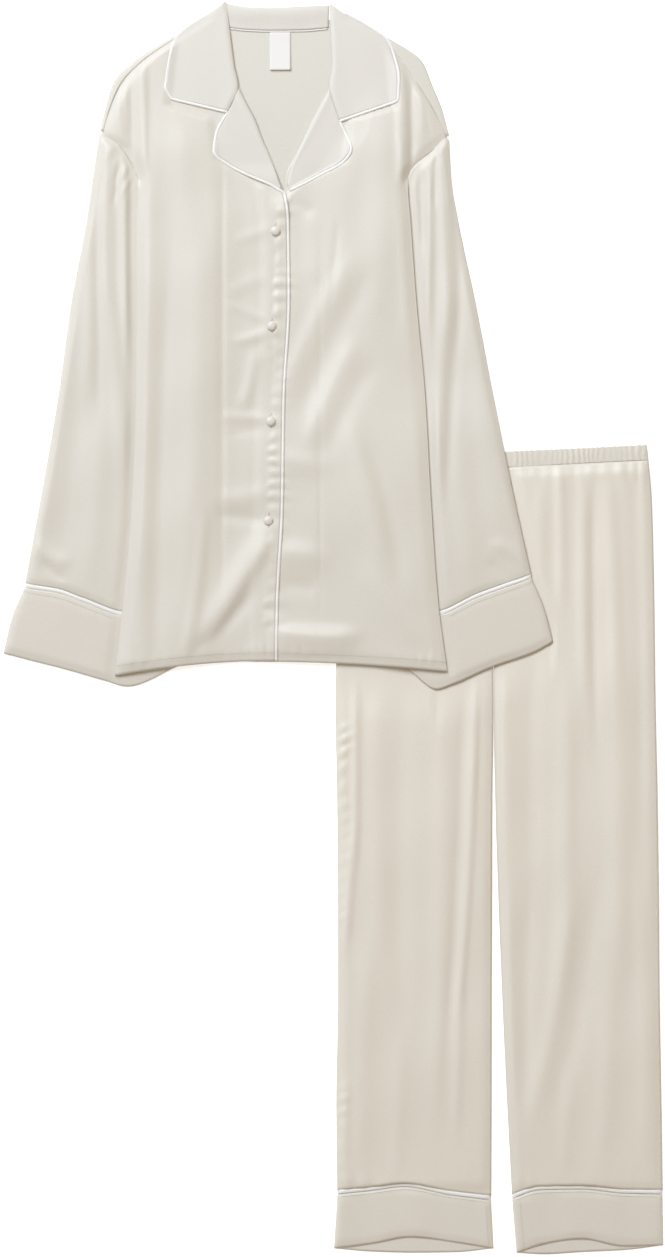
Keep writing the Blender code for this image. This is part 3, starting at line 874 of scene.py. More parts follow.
BODY_RELIEF = Relief(
    folds=(
        # left front: the light band along the side, the long bands beside it and the pressed crease
        Crease(-157, 570, -168, 16, 13, 2.4, bow=3),
        Crease(-134, 480, -150, 20, 10, -1.6, bow=3),
        Crease(-97, 520, -118, 40, 19, 2.8, bow=-5),
        Crease(-69.6, 585, -69.6, 120, 4.5, -1.5, skew=0.45),
        Crease(-92, 186, -114, 16, 7, 1.9, bow=-3),
        Crease(-120, 640, -112, 520, 15, 1.3),
        Crease(-166, 728, -168, 590, 5.5, 2.6, bow=-1),
        Crease(-180, 706, -178, 606, 5, -1.6),
        Crease(-196, 700, -190, 640, 4, 1.3, bow=1),
        Crease(-186, 694, -184, 650, 3, 0.8),
        # left front: the heavy slanting fold from the lowest button and the pulls above it
        Crease(-12, 160, -90, 36, 14, 5.4, bow=2, skew=0.25),
        Crease(-34, 92, -106, 20, 9, -1.9, bow=-3),
        Crease(-18, 212, -74, 204, 12, 2.0, bow=-2, taper=0.4),
        Crease(-20, 180, -72, 186, 8, -1.5),
        Crease(-19, 301, -68, 303, 6.0, 1.4, bow=1, taper=0.4),
        Crease(-22, 290, -60, 284, 7, -0.8, taper=0.4),
        Crease(-30, 380, -46, 316, 8, 2.0, bow=-2),
        Crease(-18, 404, -54, 394, 6.5, 1.5, bow=-1, taper=0.4),
        Crease(-18, 420, -62, 438, 5.5, 0.8),
        Crease(-12, 530, -54, 514, 7, 0.8),
        Crease(-20, 470, -60, 452, 9, 0.9, bow=2),
        # right front: the two slanting folds from the chest, the hollows by the placket and the long crease
        Crease(80, 486, 2, 330, 14, 2.4, bow=3, skew=-0.2),
        Crease(100, 464, 24, 310, 13, -1.4, bow=3),
        Crease(86, 388, 34, 274, 12, 2.3, bow=3, skew=-0.2),
        Crease(106, 362, 54, 258, 12, -1.4, bow=3),
        Crease(2, 254, 50, 246, 15, 2.3, bow=2, skew=0.1, taper=0.4),
        Crease(-4, 141, 46, 133, 16, 3.6, bow=-2, skew=0.15, taper=0.4),
        Crease(0, 103, 40, 98, 10, -1.5),
        Crease(-6, 46, 86, 41, 13, 5.2, bow=2, skew=0.3),
        Crease(12, 566, 36, 548, 8, -1.1, bow=1),
        Crease(47, 480, 47, 80, 3, -0.7),
        Crease(84, 284, 122, 126, 12, 2.2, bow=-4),
        Crease(108, 266, 144, 112, 10, -1.6, bow=-4),
        Crease(122, 656, 113, 410, 20, 2.2, bow=-4),
        Crease(61, 446, 68, 530, 4, -0.9),
        Crease(36, 540, 40, 470, 12, 1.0),
        Crease(100, 120, 172, 34, 15, 1.5, bow=4),
        Crease(145, 654, 152, 420, 8, 1.5),
        Crease(142, 726, 148, 590, 6, 2.9, bow=-1),
        Crease(156, 716, 157, 606, 5, -2.1),
        Crease(166, 704, 170, 640, 4.5, 1.5, bow=-1),
        Crease(176, 690, 182, 650, 3.5, 0.9),
        # puckers across the placket, along its seam, and along the hem stitching
        Gathers(-5, 470, -17, 60, 20, 17.0, 2.0, phase=0.2),
        Gathers(-2, 560, -6, 470, 18, 18.0, 1.5),
        Gathers(-17, 60, -5, 470, 7, 13.0, 0.9),
        Crease(-5, 556, -17, 30, 2.2, -0.7),
        Gathers(-194, 4, -8, 22, 16, 12.0, 1.3, phase=0.3),
        Gathers(-4, 21, 194, 9, 16, 14.0, 1.2),
    ),
    loft=3.0,
    ripple=0.4,
)


@dataclass
class ShirtBody:
    """The back, with its strips over the shoulders, and the two fronts."""

    lay: ShirtLay
    strips: dict[Side, Table] = field(default_factory=lambda: {
        # x, y on the shoulder fold, then x, y on the forward seam
        Side.LEFT: ((-216.5, 646, -213.5, 646), (-210, 674, -205, 674.5), (-200, 706, -192, 702.6),
                    (-176, 730, -168, 728.6), (-135, 756.5, -130, 755.6), (-98, 778, -96, 777.4)),
        Side.RIGHT: ((201, 641, 198.5, 640.6), (193, 672, 184, 670.6), (181, 702, 164, 702.4),
                     (169, 730, 145, 729.4), (125, 759.5, 122, 758.6), (92, 778, 90, 777.4)),
    })

    def build(self) -> None:
        """Make the three panels."""
        self.build_front(Side.LEFT)
        self.build_front(Side.RIGHT)
        self.build_back()

    def build_front(self, side: Side) -> None:
        """Make one front, on the back.

        Args:
            side: The front's side.
        """
        x, y = self.lay.side_points(side)
        z = self.lay.front(x, y) - WALL - EDGE_DROP * (1.0 - ease(np.abs(x - x[:, :1]) / FOLD_ROUND))
        if side is Side.LEFT:
            z = z + self.lay.crossing(x, y)
        points = in_metres(x, y, z, self.lay.place)
        mesh = grid_mesh(f"front_{side.value}_cloth", points)
        face_up(mesh)
        piece = add_piece(f"front_{side.value}_cloth", mesh, SHIRT_SATIN,
                          (f"shirt_front_{side.value}",))
        add_wall(piece, 1.0)
        declare_sheet([points])

    def build_back(self) -> None:
        """Make the back panel and the strips that wrap over the shoulders, as one piece."""
        x_left, y_left = self.lay.side_points(Side.LEFT)
        x_right, y_right = self.lay.side_points(Side.RIGHT)
        wrap = int(np.argmin(np.abs(x_left[0] - self.lay.left[0][7])))
        gap = np.linspace(0.0, 1.0, 24)[None, 1:-1]
        x_gap = x_left[:, wrap:wrap + 1] * (1 - gap) + x_right[:, -1:] * gap
        y_gap = y_left[:, wrap:wrap + 1] * (1 - gap) + y_right[:, -1:] * gap
        x = np.concatenate([x_left[:, :wrap + 1], x_gap, x_right[:, ::-1]], axis=1)
        y = np.concatenate([y_left[:, :wrap + 1], y_gap, y_right[:, ::-1]], axis=1)
        z = self.lay.base(x, y) + BACK_SHARE * self.lay.folds(x, y) * ease((y + 4) / 30)
        points = in_metres(x, y, z, self.lay.place)
        mesh = grid_mesh("back_cloth", points)
        face_up(mesh)
        grids = [points]
        bm = bmesh.new()
        bm.from_mesh(mesh)
        for table in self.strips.values():
            rows = np.array(table).reshape(-1, 2, 2)
            strip = loft(rows, CELL, 2.5)
            x, y = strip[..., 0], strip[..., 1]
            share = np.linspace(0.0, 1.0, strip.shape[1])[None, :]
            z = LAYER * (0.35 + 0.65 * np.sqrt(share)) + 0.5
            grid = in_metres(x, y, z + 0 * x, self.lay.place)
            part = grid_mesh("strip", grid)
            face_up(part)
            bm.from_mesh(part)
            bpy.data.meshes.remove(part)
            grids.append(grid)
        bm.to_mesh(mesh)
        bm.free()
        piece = add_piece("back_cloth", mesh, BACK_SATIN,
                          ("shirt_back", "shoulder_wrap_left", "shoulder_wrap_right"))
        add_wall(piece, 1.0)
        declare_sheet(grids)


@dataclass
class Sleeve:
    """A sleeve with its cuff and the piping band between them, each a flattened tube."""

    lay: ShirtLay
    side: Side
    rows: tuple[Table, ...]
    cuff: tuple[Table, ...]
    relief: Relief
    band: float = 3.6
    seam: float = 0.35
    wall: float = 0.8
    stitch_inset: float = 1.9

    def uncovered(self, x: np.ndarray, y: np.ndarray) -> np.ndarray:
        """Return 1 where the sleeve lies in the open and 0 where the body lies on it."""
        edge = np.abs(self.lay.columns(self.side, np.clip(y, -20.0, 780.0))[..., 0])
        return ease((np.abs(x) - edge - 1.0) / 13.0)

    def layers(self, flat: np.ndarray, folds: np.ndarray) -> tuple[np.ndarray, np.ndarray]:
        """Return the upper and lower outer surfaces over a flat grid.

        Args:
            flat: Grid of x, y from the outer fold to the hidden one, in millimetres.
            folds: Height of the folds over it.

        Returns:
            Upper and lower grids, in metres.
        """
        x, y = flat[..., 0], flat[..., 1]
        near = from_folds(flat)
        round_off = rounded(near)
        ground = self.lay.step_up(x, y)
        upper = ground + TUBE * (0.5 + 0.5 * round_off) + folds * ease(near / 9.0)
        lower = ground + 0.4 * (1.0 - round_off) + 0.18 * folds * ease(near / 12.0) * ease(ground * 4)
        return (in_metres(x, y, upper, self.lay.place), in_metres(x, y, lower, self.lay.place))

    def build(self) -> None:
        """Make the sleeve, its piping band and its cuff."""
        name = self.side.value
        flat = loft(np.array(self.rows), CELL)
        x, y = flat[..., 0], flat[..., 1]
        steps = np.linspace(0.0, 1.0, len(flat))[:, None]
        reach = ease(steps * len(flat) * CELL / 10.0) * ease((1.0 - steps) * len(flat) * CELL / 5.0 + 0.35)
        folds = self.relief.height(x, y) * self.uncovered(x, y) * (0.15 + 0.85 * reach)
        upper, lower = self.layers(flat, folds)
        self.add_tube(f"sleeve_{name}_cloth", upper, lower, SHIRT_SATIN, f"sleeve_{name}")
        seam_row = flat[0]
        offsets = np.linspace(self.band + 2 * self.seam, -0.5, 9)
        band = np.stack([seam_row - (0.0, down) for down in offsets])
        dome = 0.5 + 0.7 * np.sin(np.linspace(0.0, math.pi, 9))[:, None]
        dome = dome * self.uncovered(band[..., 0], band[..., 1])
        upper, lower = self.layers(band, dome)
        self.add_tube(f"sleeve_band_{name}", upper, lower, PIPING_SATIN, f"sleeve_piping_{name}")
        self.build_cuff(seam_row)

    def build_cuff(self, seam_row: np.ndarray) -> None:
        """Make the cuff below the piping band, and its row of stitches.

        Args:
            seam_row: Points x, y of the sleeve's lower edge.
        """
        name = self.side.value
        ends = loft(np.array(self.cuff[:1] + self.rows[:1]), CELL)[0]
        count = len(seam_row)
        knots = np.linspace(0.0, 1.0, len(ends))
        bottom = glide(knots, ends, np.linspace(0.0, 1.0, count))
        top = seam_row - (0.0, self.band + self.seam)
        middle_ends = loft(np.array(self.cuff[1:] + self.rows[:1]), CELL)[0]
        middle = glide(np.linspace(0.0, 1.0, len(middle_ends)), middle_ends, np.linspace(0.0, 1.0, count))
        flat = loft(np.stack([bottom, middle, top]), CELL, 1e9)
        x, y = flat[..., 0], flat[..., 1]
        steps = np.linspace(0.0, 1.0, len(flat))[:, None]
        folds = 0.55 * self.relief.height(x, y) * self.uncovered(x, y) * (0.2 + 0.8 * ease(8 * steps))
        folds = folds * (0.3 + 0.7 * ease(6 * (1 - steps))) - 1.1 * (1.0 - ease(8 * steps))
        upper, lower = self.layers(flat, folds)
        self.add_tube(f"cuff_{name}_cloth", upper, lower, CUFF_SATIN, f"sleeve_cuff_{name}")
        visible = self.uncovered(x[-1], y[-1]) > 0.3
        row = max(1, int(len(flat) - 1 - self.stitch_inset / CELL - 0.5))
        path = upper[row][visible] + (0.0, 0.0, 0.2 * MM)
        if len(path) > 3:
            StitchRow().build(f"cuff_{name}_stitches", path, THREAD, "cuff_satin")

    def add_tube(self, name: str, upper: np.ndarray, lower: np.ndarray, finish: Satin,
                 node: str) -> None:
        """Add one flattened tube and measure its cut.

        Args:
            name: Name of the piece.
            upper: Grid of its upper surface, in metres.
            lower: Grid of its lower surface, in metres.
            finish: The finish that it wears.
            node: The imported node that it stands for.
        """
        piece = add_piece(name, tube_mesh(name, upper, lower), finish, (node,))
        add_wall(piece, -1.0, self.wall)
        declare_sheet([upper], layers=2)


LEFT_SLEEVE_RELIEF = Relief(
    folds=(
        Crease(-207, 632, -209, 440, 9, 2.6, bow=2),
        Crease(-208, 462, -190, 250, 10, 2.0, bow=-2),
        Crease(-231, 540, -234, 320, 9, 1.7, bow=-3),
        Crease(-220, 540, -219, 330, 5, -1.2),
        Crease(-188, 612, -184, 380, 6, 2.3, bow=1),
        Crease(-179, 600, -178, 410, 5, -2.0),
        Crease(-248, 430, -292, 150, 12, 1.8, bow=3),
        Crease(-240, 330, -262, 150, 13, -1.4),
        Crease(-216, 300, -230, 120, 13, 1.5, bow=-3),
        Crease(-298, 152, -258, 126, 10, 2.2, bow=2),
        Crease(-284, 128, -262, 108, 6, -1.2),
        Crease(-192, 620, -200, 560, 3.4, -1.4),
        Crease(-214, 640, -216, 570, 3, -1.2),
        Gathers(-172, 590, -214, 640, 40, 12.0, 1.1, lean=0.35),
        Gathers(-190, 76, -304, 106, 24, 23.0, 1.0),
    ),
    loft=2.4,
    ripple=0.35,
)
RIGHT_SLEEVE_RELIEF = Relief(
    folds=(
        Crease(190, 632, 199, 420, 8, 2.9, bow=-2),
        Crease(199, 442, 186, 210, 8.5, 2.5, bow=2),
        Crease(210, 560, 213, 400, 6, -1.6, bow=-2),
        Crease(213, 420, 200, 220, 7, -1.5, bow=2),
        Crease(179, 606, 177, 420, 5, 2.1),
        Crease(166, 598, 170, 510, 5, -2.2),
        Crease(230, 470, 262, 180, 14, 1.7, bow=3),
        Crease(214, 260, 228, 110, 13, 1.3),
        Crease(256, 152, 300, 126, 9, 1.8, bow=-2),
        Crease(250, 128, 276, 106, 7, -1.2),
        Crease(186, 622, 184, 560, 3.2, -1.3),
        Crease(198, 634, 202, 560, 3, 1.2),
        Gathers(202, 636, 160, 600, 38, 11.0, 1.1, lean=-0.3),
        Gathers(298, 114, 192, 74, 24, 20.0, 0.9),
    ),
    loft=2.4,
    ripple=0.35,
)
LEFT_SLEEVE_ROWS = (
    ((-307, 104), (-304, 103), (-268, 97), (-234, 85), (-190, 70), (-114, 79)),
    ((-294, 175), (-290, 174), (-256, 168), (-220, 160), (-184, 150), (-109, 144)),
    ((-268, 324), (-265, 323), (-234, 320), (-203, 317), (-170, 313), (-98, 308)),
    ((-251, 444), (-247, 443), (-221, 440), (-193, 438), (-164, 436), (-88, 431)),
    ((-233, 540), (-230, 539), (-210, 534), (-188, 527), (-162, 517), (-85, 485)),
    ((-226, 588), (-223, 587), (-208, 578), (-188, 565), (-166, 550), (-88, 499)),
    ((-218, 642), (-213.2, 644), (-186.5, 620), (-172.7, 593), (-166.5, 576), (-94, 513)),
)
RIGHT_SLEEVE_ROWS = (
    ((300, 115), (296, 113), (268, 103), (235, 91), (191, 71), (146, 77)),
    ((282, 196), (278, 194), (250, 188), (220, 180), (186, 173), (112, 168)),
    ((256, 324), (252, 323), (227, 319), (202, 316), (176, 312), (96, 307)),
    ((233, 444), (229, 443), (206, 440), (184, 438), (164, 436), (86, 430)),
    ((213, 538), (209, 536), (191, 530), (172, 523), (155, 514), (84, 482)),
    ((205, 586), (202, 583), (186, 576), (167, 564), (152, 548), (86, 498)),
    ((202, 636), (198.6, 638.1), (179.6, 621.1), (155.6, 598.6), (147.6, 576.1), (88, 513)),
)
LEFT_CUFF_ROWS = (
    ((-333, 19.8), (-303, 12), (-257, 0.2), (-211, -13), (-184, -20), (-122, 5)),
    ((-323, 62), (-301, 56), (-260, 46), (-220, 33), (-187, 24), (-118, 41)),
)
RIGHT_CUFF_ROWS = (
    ((326, 34), (304, 21.8), (254, 4), (206, -17), (186, -23), (152, 2)),
    ((316, 73), (296, 65), (260, 52), (221, 37), (188, 24), (149, 36)),
)


@dataclass
class Collar:
    """The collar's leaves and the inside of its back, the lapels, and the piping along every edge."""

    lay: ShirtLay
    piping_width: float = 3.4
    piping_height: float = 2.3
    piping_cell: float = 2.2
    neck_piping: tuple[float, float] = (1.7, 1.5)
    # leaves and lapels: x, y on the outer edge, then x, y on the roll line
    left_leaf: Table = ((-131, 686, -63, 670), (-138, 703, -51, 699), (-135, 727, -56, 726),
                        (-128, 755, -60, 757), (-106, 775, -62.5, 776), (-86, 787, -63.8, 788),
                        (-68, 801, -65.3, 801.5))
    right_leaf: Table = ((139, 683, 69, 659), (140, 709, 57.5, 699), (134, 738, 61, 728), (126, 755, 60, 752),
                         (101, 773, 59.5, 771), (76, 787, 58.8, 784), (60.5, 798, 58.3, 798))
    back: tuple[Table, Table] = (((-63, 771), (-42, 768.5), (-13, 767.5), (27, 768), (57, 770.5)),
                                 ((-65, 799), (-42, 795), (-13, 794), (29, 796), (58, 797)))
    left_lapel: Table = ((-0.5, 576, -1.2, 582), (-12, 583, -12, 612), (-42, 596, -23, 638),
                         (-64, 608, -32, 662), (-79, 622, -39.5, 676), (-76, 643, -44, 685),
                         (-63.4, 667.4, -51, 696.5))
    right_lapel: Table = ((9.5, 576, 7.5, 584), (24.6, 583, 14, 608), (49, 596, 27, 637), (74, 610, 38, 660),
                          (83, 624, 45, 674), (78, 639, 52, 686), (69.6, 656.4, 57.5, 696.5))
    neck: Table = ((-61, 769.2), (-42, 767), (-13, 766), (27, 766.4), (56, 769))

    def build(self) -> None:
        """Make every part of the collar."""
        for side, leaf, lapel in ((Side.LEFT, self.left_leaf, self.left_lapel),
                                  (Side.RIGHT, self.right_leaf, self.right_lapel)):
            self.build_leaf(side, leaf)
            self.build_lapel(side, lapel)
        self.build_back()

    def turned(self, rows: Table, roll: float) -> np.ndarray:
        """Return the lower surface of a turned-back piece over the fronts.

        Args:
            rows: x, y on the outer edge and x, y on the roll line, a row per height.
            roll: How high the cloth stands along the roll line.

        Returns:
            Grid of x, y, z in millimetres, outer edge first.
        """
        grid = loft(np.array(rows, dtype=float).reshape(-1, 2, 2), 2.6)
        x, y = grid[..., 0], grid[..., 1]
        share = np.linspace(0.0, 1.0, grid.shape[1])[None, :]
        extra = np.where(x < 3, LAYER * ease((610 - y) / 24) * ease((y - 560) / 12), 0.0)
        wide = np.hypot(x[:, -1:] - x[:, :1], y[:, -1:] - y[:, :1])
        inward = 1.0 - share
        rise = roll * np.exp(-((inward / 0.16) ** 2)) - 1.5 * np.exp(-((inward * wide / 2.6) ** 2))
        puff = 0.4 * np.sin(math.pi * share) * ease((y - 560) / 60)
        z = self.lay.front(x, y) + GAP + extra + rise + puff
        return np.stack([x, y, z], axis=-1)

    def add_turned(self, name: str, grid: np.ndarray, node: str) -> None:
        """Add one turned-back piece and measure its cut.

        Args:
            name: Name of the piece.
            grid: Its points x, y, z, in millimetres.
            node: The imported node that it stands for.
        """
        points = in_metres(grid[..., 0], grid[..., 1], grid[..., 2], self.lay.place)
        mesh = grid_mesh(name, points)
        face_up(mesh)
        piece = add_piece(name, mesh, COLLAR_SATIN, (node,))
        add_wall(piece, 1.0)
        declare_sheet([points])

    def add_piping(self, name: str, path: np.ndarray, aside: float, nodes: tuple[str, ...] = ()) -> None:
        """Add the piping along a path, moved aside off the cloth's edge.

        Args:
            name: Name of the piece.
            path: Points x, y, z, in millimetres.
            aside: How far the piping lies to the left of the path.
            nodes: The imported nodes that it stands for.
        """
        line = resample(moved_aside(resample(path, self.piping_cell), aside), self.piping_cell)
        line = line + (self.lay.place[0], self.lay.place[1], 0.0)
        mesh = sweep_mesh(name, line * MM, self.piping_width * MM, self.piping_height * MM)
        add_piece(name, mesh, PIPING_SATIN, nodes)

    def build_leaf(self, side: Side, rows: Table) -> None:
        """Make one collar leaf with the piping along its lower and outer edges.

        Args:
            side: The leaf's side.
            rows: Its outer edge and its roll line.
        """
        grid = self.turned(rows, 0.7)
        self.add_turned(f"collar_leaf_{side.value}", grid, f"collar_{side.value}")
        rim = np.concatenate([grid[0, ::-1], grid[1:-8, 0]])
        rim[:, 2] += WALL / 2 + 0.1
        aside = self.piping_width / 2 - 0.4
        if side is Side.LEFT:
            tucked = ease((rim[:, 1] - 697.0) / 10.0)
            rim[:, 0] += 2.0 * tucked
            rim[:, 2] -= 0.9 * tucked
        self.add_piping(f"collar_edge_{side.value}", rim, aside if side is Side.LEFT else -aside,
                        (f"collar_piping_{side.value}",))

    def build_lapel(self, side: Side, rows: Table) -> None:
        """Make one lapel with the piping along its edge, and on the left down the placket.

        Args:
            side: The lapel's side.
            rows: Its outer edge and its roll line.
        """
        grid = self.turned(rows, 0.9)
        self.add_turned(f"lapel_{side.value}_cloth", grid, f"lapel_{side.value}")
        rim = grid[::-1, 0].copy()
        rim[:, 2] += WALL / 2 + 0.1
        aside = self.piping_width / 2 - 0.4
        if side is Side.RIGHT:
            self.add_piping("lapel_edge_right", rim, aside, ("front_piping_right",))
            return
        x, y = self.lay.side_points(Side.LEFT)
        edge_x, edge_y = x[:, -1], y[:, -1]
        keep = edge_y < 572
        edge_x, edge_y = edge_x[keep][::-1], edge_y[keep][::-1]
        z = self.lay.front(edge_x, edge_y) + self.lay.crossing(edge_x, edge_y) - WALL / 2
        placket = moved_aside(np.stack([edge_x, edge_y, z], axis=1), aside)
        lapel = moved_aside(rim, -aside)[:-1]
        self.add_piping("front_edge_left", np.concatenate([lapel, placket]), 0.0, ("front_piping_left",))

    def build_back(self) -> None:
        """Make the inside of the collar's back and the thin piping along the neck seam."""
        grid = loft(np.array(self.back, dtype=float), 2.2, 2.6)
        x, y = grid[..., 0], grid[..., 1]
        share = np.linspace(0.0, 1.0, len(grid))[:, None]
        folds = 0.5 * np.sin(x / 9.0) * np.sin(math.pi * share) + 0.7 * np.exp(-(((x - 44) / 6) ** 2))
        z = LAYER - 0.5 + 1.9 * ease(1.15 * share) - 0.8 * share**6 + 0.5 * folds
        points = in_metres(x, y, z, self.lay.place)
        mesh = grid_mesh("collar_back_cloth", points)
        face_up(mesh)
        piece = add_piece("collar_back_cloth", mesh, COLLAR_SATIN, ("collar_back",))
        add_wall(piece, 1.0)
        declare_sheet([points])
        seam = np.array(self.neck, dtype=float)
        seam = glide(seam[:, 0], seam, np.linspace(seam[0, 0], seam[-1, 0], 50))
        x, y = seam[:, 0], seam[:, 1]
        z = self.lay.base(x, y) + BACK_SHARE * self.lay.folds(x, y) + WALL + 0.9
        wide, high = self.neck_piping
        mesh = sweep_mesh("neck_edge", in_metres(x, y, z, self.lay.place), wide * MM, high * MM)
        add_piece("neck_edge", mesh, PIPING_SATIN, ("neck_piping",))


@dataclass
class Fastenings:
    """The covered buttons, their buttonholes, the bare neck label and the hem stitching."""

    lay: ShirtLay
    radius: float = 5.8
    height: float = 4.6
    buttonhole: tuple[float, float] = (2.2, 18.0)
    buttonhole_thread: tuple[float, float] = (0.8, 0.7)
    label_size: tuple[float, float] = (25.0, 45.5)
    label_centre: tuple[float, float] = (-1.0, 742.2)
    label_wall: float = 0.5
    label_curl: float = 1.6
    buttons: Table = ((-6.6, 526), (-11, 412), (-12, 298), (-15, 179))
    hem_depth: float = 10.0

    def build(self) -> None:
        """Make every small part of the shirt."""
        for number, (x, y) in enumerate(self.buttons, start=1):
            self.build_button(number, x, y)
            self.build_buttonhole(number, x, y)
        self.build_label()
        for side in Side:
            self.build_hem(side)

    def surface(self, x: float, y: float) -> float:
        """Return the height of the left front's upper surface."""
        spot_x, spot_y = np.array([x]), np.array([y])
        return float((self.lay.front(spot_x, spot_y) + self.lay.crossing(spot_x, spot_y))[0])

    def build_button(self, number: int, x: float, y: float) -> None:
        """Make one satin-covered button: a low dome with a rolled rim and a flat back.

        Args:
            number: Its number from the top.
            x: Its place across, in millimetres.
            y: Its place up.
        """
        bm = bmesh.new()
        bmesh.ops.create_uvsphere(bm, u_segments=36, v_segments=18, radius=1.0)
        for vert in bm.verts:
            across = min(1.0, math.hypot(vert.co.x, vert.co.y))
            dome = (1.0 - across**2.6) ** 0.55
            vert.co.z = dome if vert.co.z > 0 else -0.35 * dome
        bmesh.ops.scale(bm, vec=(self.radius * MM, self.radius * MM, self.height * 0.66 * MM), verts=bm.verts)
        z = self.surface(x, y) + 0.25 + self.height * 0.24
        where = Vector((x + self.lay.place[0], y + self.lay.place[1], z)) * MM
        bmesh.ops.translate(bm, vec=where, verts=bm.verts)
        mesh = bpy.data.meshes.new(f"button_{number}_covered")
        bm.to_mesh(mesh)
        bm.free()
        add_piece(f"button_{number}_covered", mesh, BUTTON_SATIN, (f"button_{number}",))

    def build_buttonhole(self, number: int, x: float, y: float) -> None:
        """Make the stitched buttonhole that shows above and below a button.

        Args:
            number: The button's number from the top.
            x: The button's place across, in millimetres.
            y: The button's place up.
        """
        wide, tall = self.buttonhole
        turn = np.linspace(0.0, 2 * math.pi, 40)
        spot_x, spot_y = x + wide / 2 * np.cos(turn) + 0.4, y + 1.0 + tall / 2 * np.sin(turn)
        z = self.lay.front(spot_x, spot_y) + self.lay.crossing(spot_x, spot_y) + 0.15
        path = in_metres(spot_x, spot_y, z, self.lay.place)
        thick, high = self.buttonhole_thread
        mesh = sweep_mesh(f"buttonhole_{number}", path, thick * MM, high * MM, 6)
        add_piece(f"buttonhole_{number}", mesh, THREAD)

    def build_label(self) -> None:
        """Make the bare label, sewn in at the neck seam and lying on the inside of the back."""
        wide, tall = self.label_size
        x, y = np.meshgrid(np.linspace(-wide / 2, wide / 2, 15), np.linspace(-tall / 2, tall / 2, 25))
        x, y = x + self.label_centre[0], y + self.label_centre[1]
        low = (self.label_centre[1] + tall / 2 - y) / tall
        bed = self.lay.base(x, y) + BACK_SHARE * self.lay.folds(x, y).max() + WALL
        z = bed + 0.35 + self.label_curl * low**2
        points = in_metres(x, y, z, self.lay.place)
        mesh = grid_mesh("label_tape_blank", points)
        face_up(mesh)
        piece = add_piece("label_tape_blank", mesh, LABEL_TAPE, ("neck_label",))
        add_wall(piece, 1.0, self.label_wall)
        declare_sheet([points])

    def build_hem(self, side: Side) -> None:
        """Make the row of stitches that holds the hem of one front.

        Args:
            side: The front's side.
        """
        x, y = self.lay.side_points(side)
        row = int(round(self.hem_depth / CELL))
        spot_x, spot_y = x[row], y[row]
        if side is Side.RIGHT:
            keep = spot_x > self.lay.left[0][9] + 4
            spot_x, spot_y = spot_x[keep], spot_y[keep]
        z = self.lay.front(spot_x, spot_y) + 0.1
        if side is Side.LEFT:
            z = z + self.lay.crossing(spot_x, spot_y)
        path = in_metres(spot_x, spot_y, z, self.lay.place)
        StitchRow().build(f"hem_{side.value}_stitches", path, THREAD, "shirt_satin")


# ---------------------------------------------------------------- trousers

TROUSER_RELIEF = Relief(
    folds=(
        # left leg
        Crease(-167, 706, -167, 480, 4.6, 3.0, bow=-1),
        Crease(-168, 500, -178, 370, 5.0, 2.4),
        Crease(-139, 700, -136, 360, 12, 1.8, bow=3),
        Crease(-108, 700, -112, 280, 13, -1.5, bow=3),
        Crease(-62, 700, -70, 180, 12, 2.1, bow=-4),
        Crease(-36, 700, -58, 240, 6, -1.4, bow=-3),
        Crease(-21, 706, -26, 560, 4.2, 2.8),
        Crease(-25, 590, -42, 300, 4.6, 2.9, bow=-2),
        Crease(-40, 330, -46, 150, 6, 1.8),
        Crease(-148, 380, -160, 110, 12, 1.6, bow=3),
        Crease(-112, 260, -118, 90, 10, 1.2),
        Crease(-176, 200, -182, 100, 6, 1.3),
        # right leg
        Crease(12, 800, 16, 470, 12, 2.3, bow=2),
        Crease(46, 780, 46, 450, 12, -2.0, bow=2),
        Crease(17, 420, 18, 180, 9, 2.5, bow=2),
        Crease(42, 420, 38, 180, 9, -1.9, bow=2),
        Crease(86, 660, 80, 330, 12, 2.6, bow=-3),
        Crease(94, 430, 50, 180, 11, 2.5, bow=-4),
        Crease(120, 420, 78, 180, 12, -1.8, bow=-4),
        Crease(136, 940, 146, 690, 9, 2.6, bow=-1),
        Crease(146, 720, 147, 330, 14, 2.8, bow=-3),
        Crease(107, 916, 108, 680, 7, 2.2, bow=1),
        Crease(119, 910, 122, 620, 6, -1.7, bow=1),
        Crease(79, 944, 81, 780, 6, 2.2),
        Crease(56, 920, 60, 700, 8, 1.6, bow=2),
        Crease(168, 900, 176, 520, 9, -1.5, bow=-3),
        Crease(136, 330, 128, 110, 13, 1.8, bow=-4),
        Crease(176, 420, 180, 120, 9, 1.3, bow=-3),
        Crease(90, 220, 84, 100, 9, 1.1),
        # short folds under the waistband, over the leg cuffs and along the outseam
        Gathers(186, 948, -180, 937, 30, 13.5, 3.0),
        Gathers(186, 948, -180, 937, 84, 31.0, 1.7, lean=0.04, phase=0.4),
        Gathers(-188, 74, -4, 68, 26, 21.0, 1.5),
        Gathers(22, 68, 202, 74, 26, 18.0, 1.5, phase=0.2),
        Gathers(-186, 620, -187, 400, 15, 17.0, 4.2, lean=0.5),
        Gathers(-188, 190, -187, 90, 13, 17.0, 3.0, lean=0.3),
        Gathers(16, 76, 8, 420, 8, 18.0, 1.1),
        Gathers(197, 420, 201, 90, 8, 19.0, 0.9),
    ),
    loft=3.0,
    ripple=0.3,
)
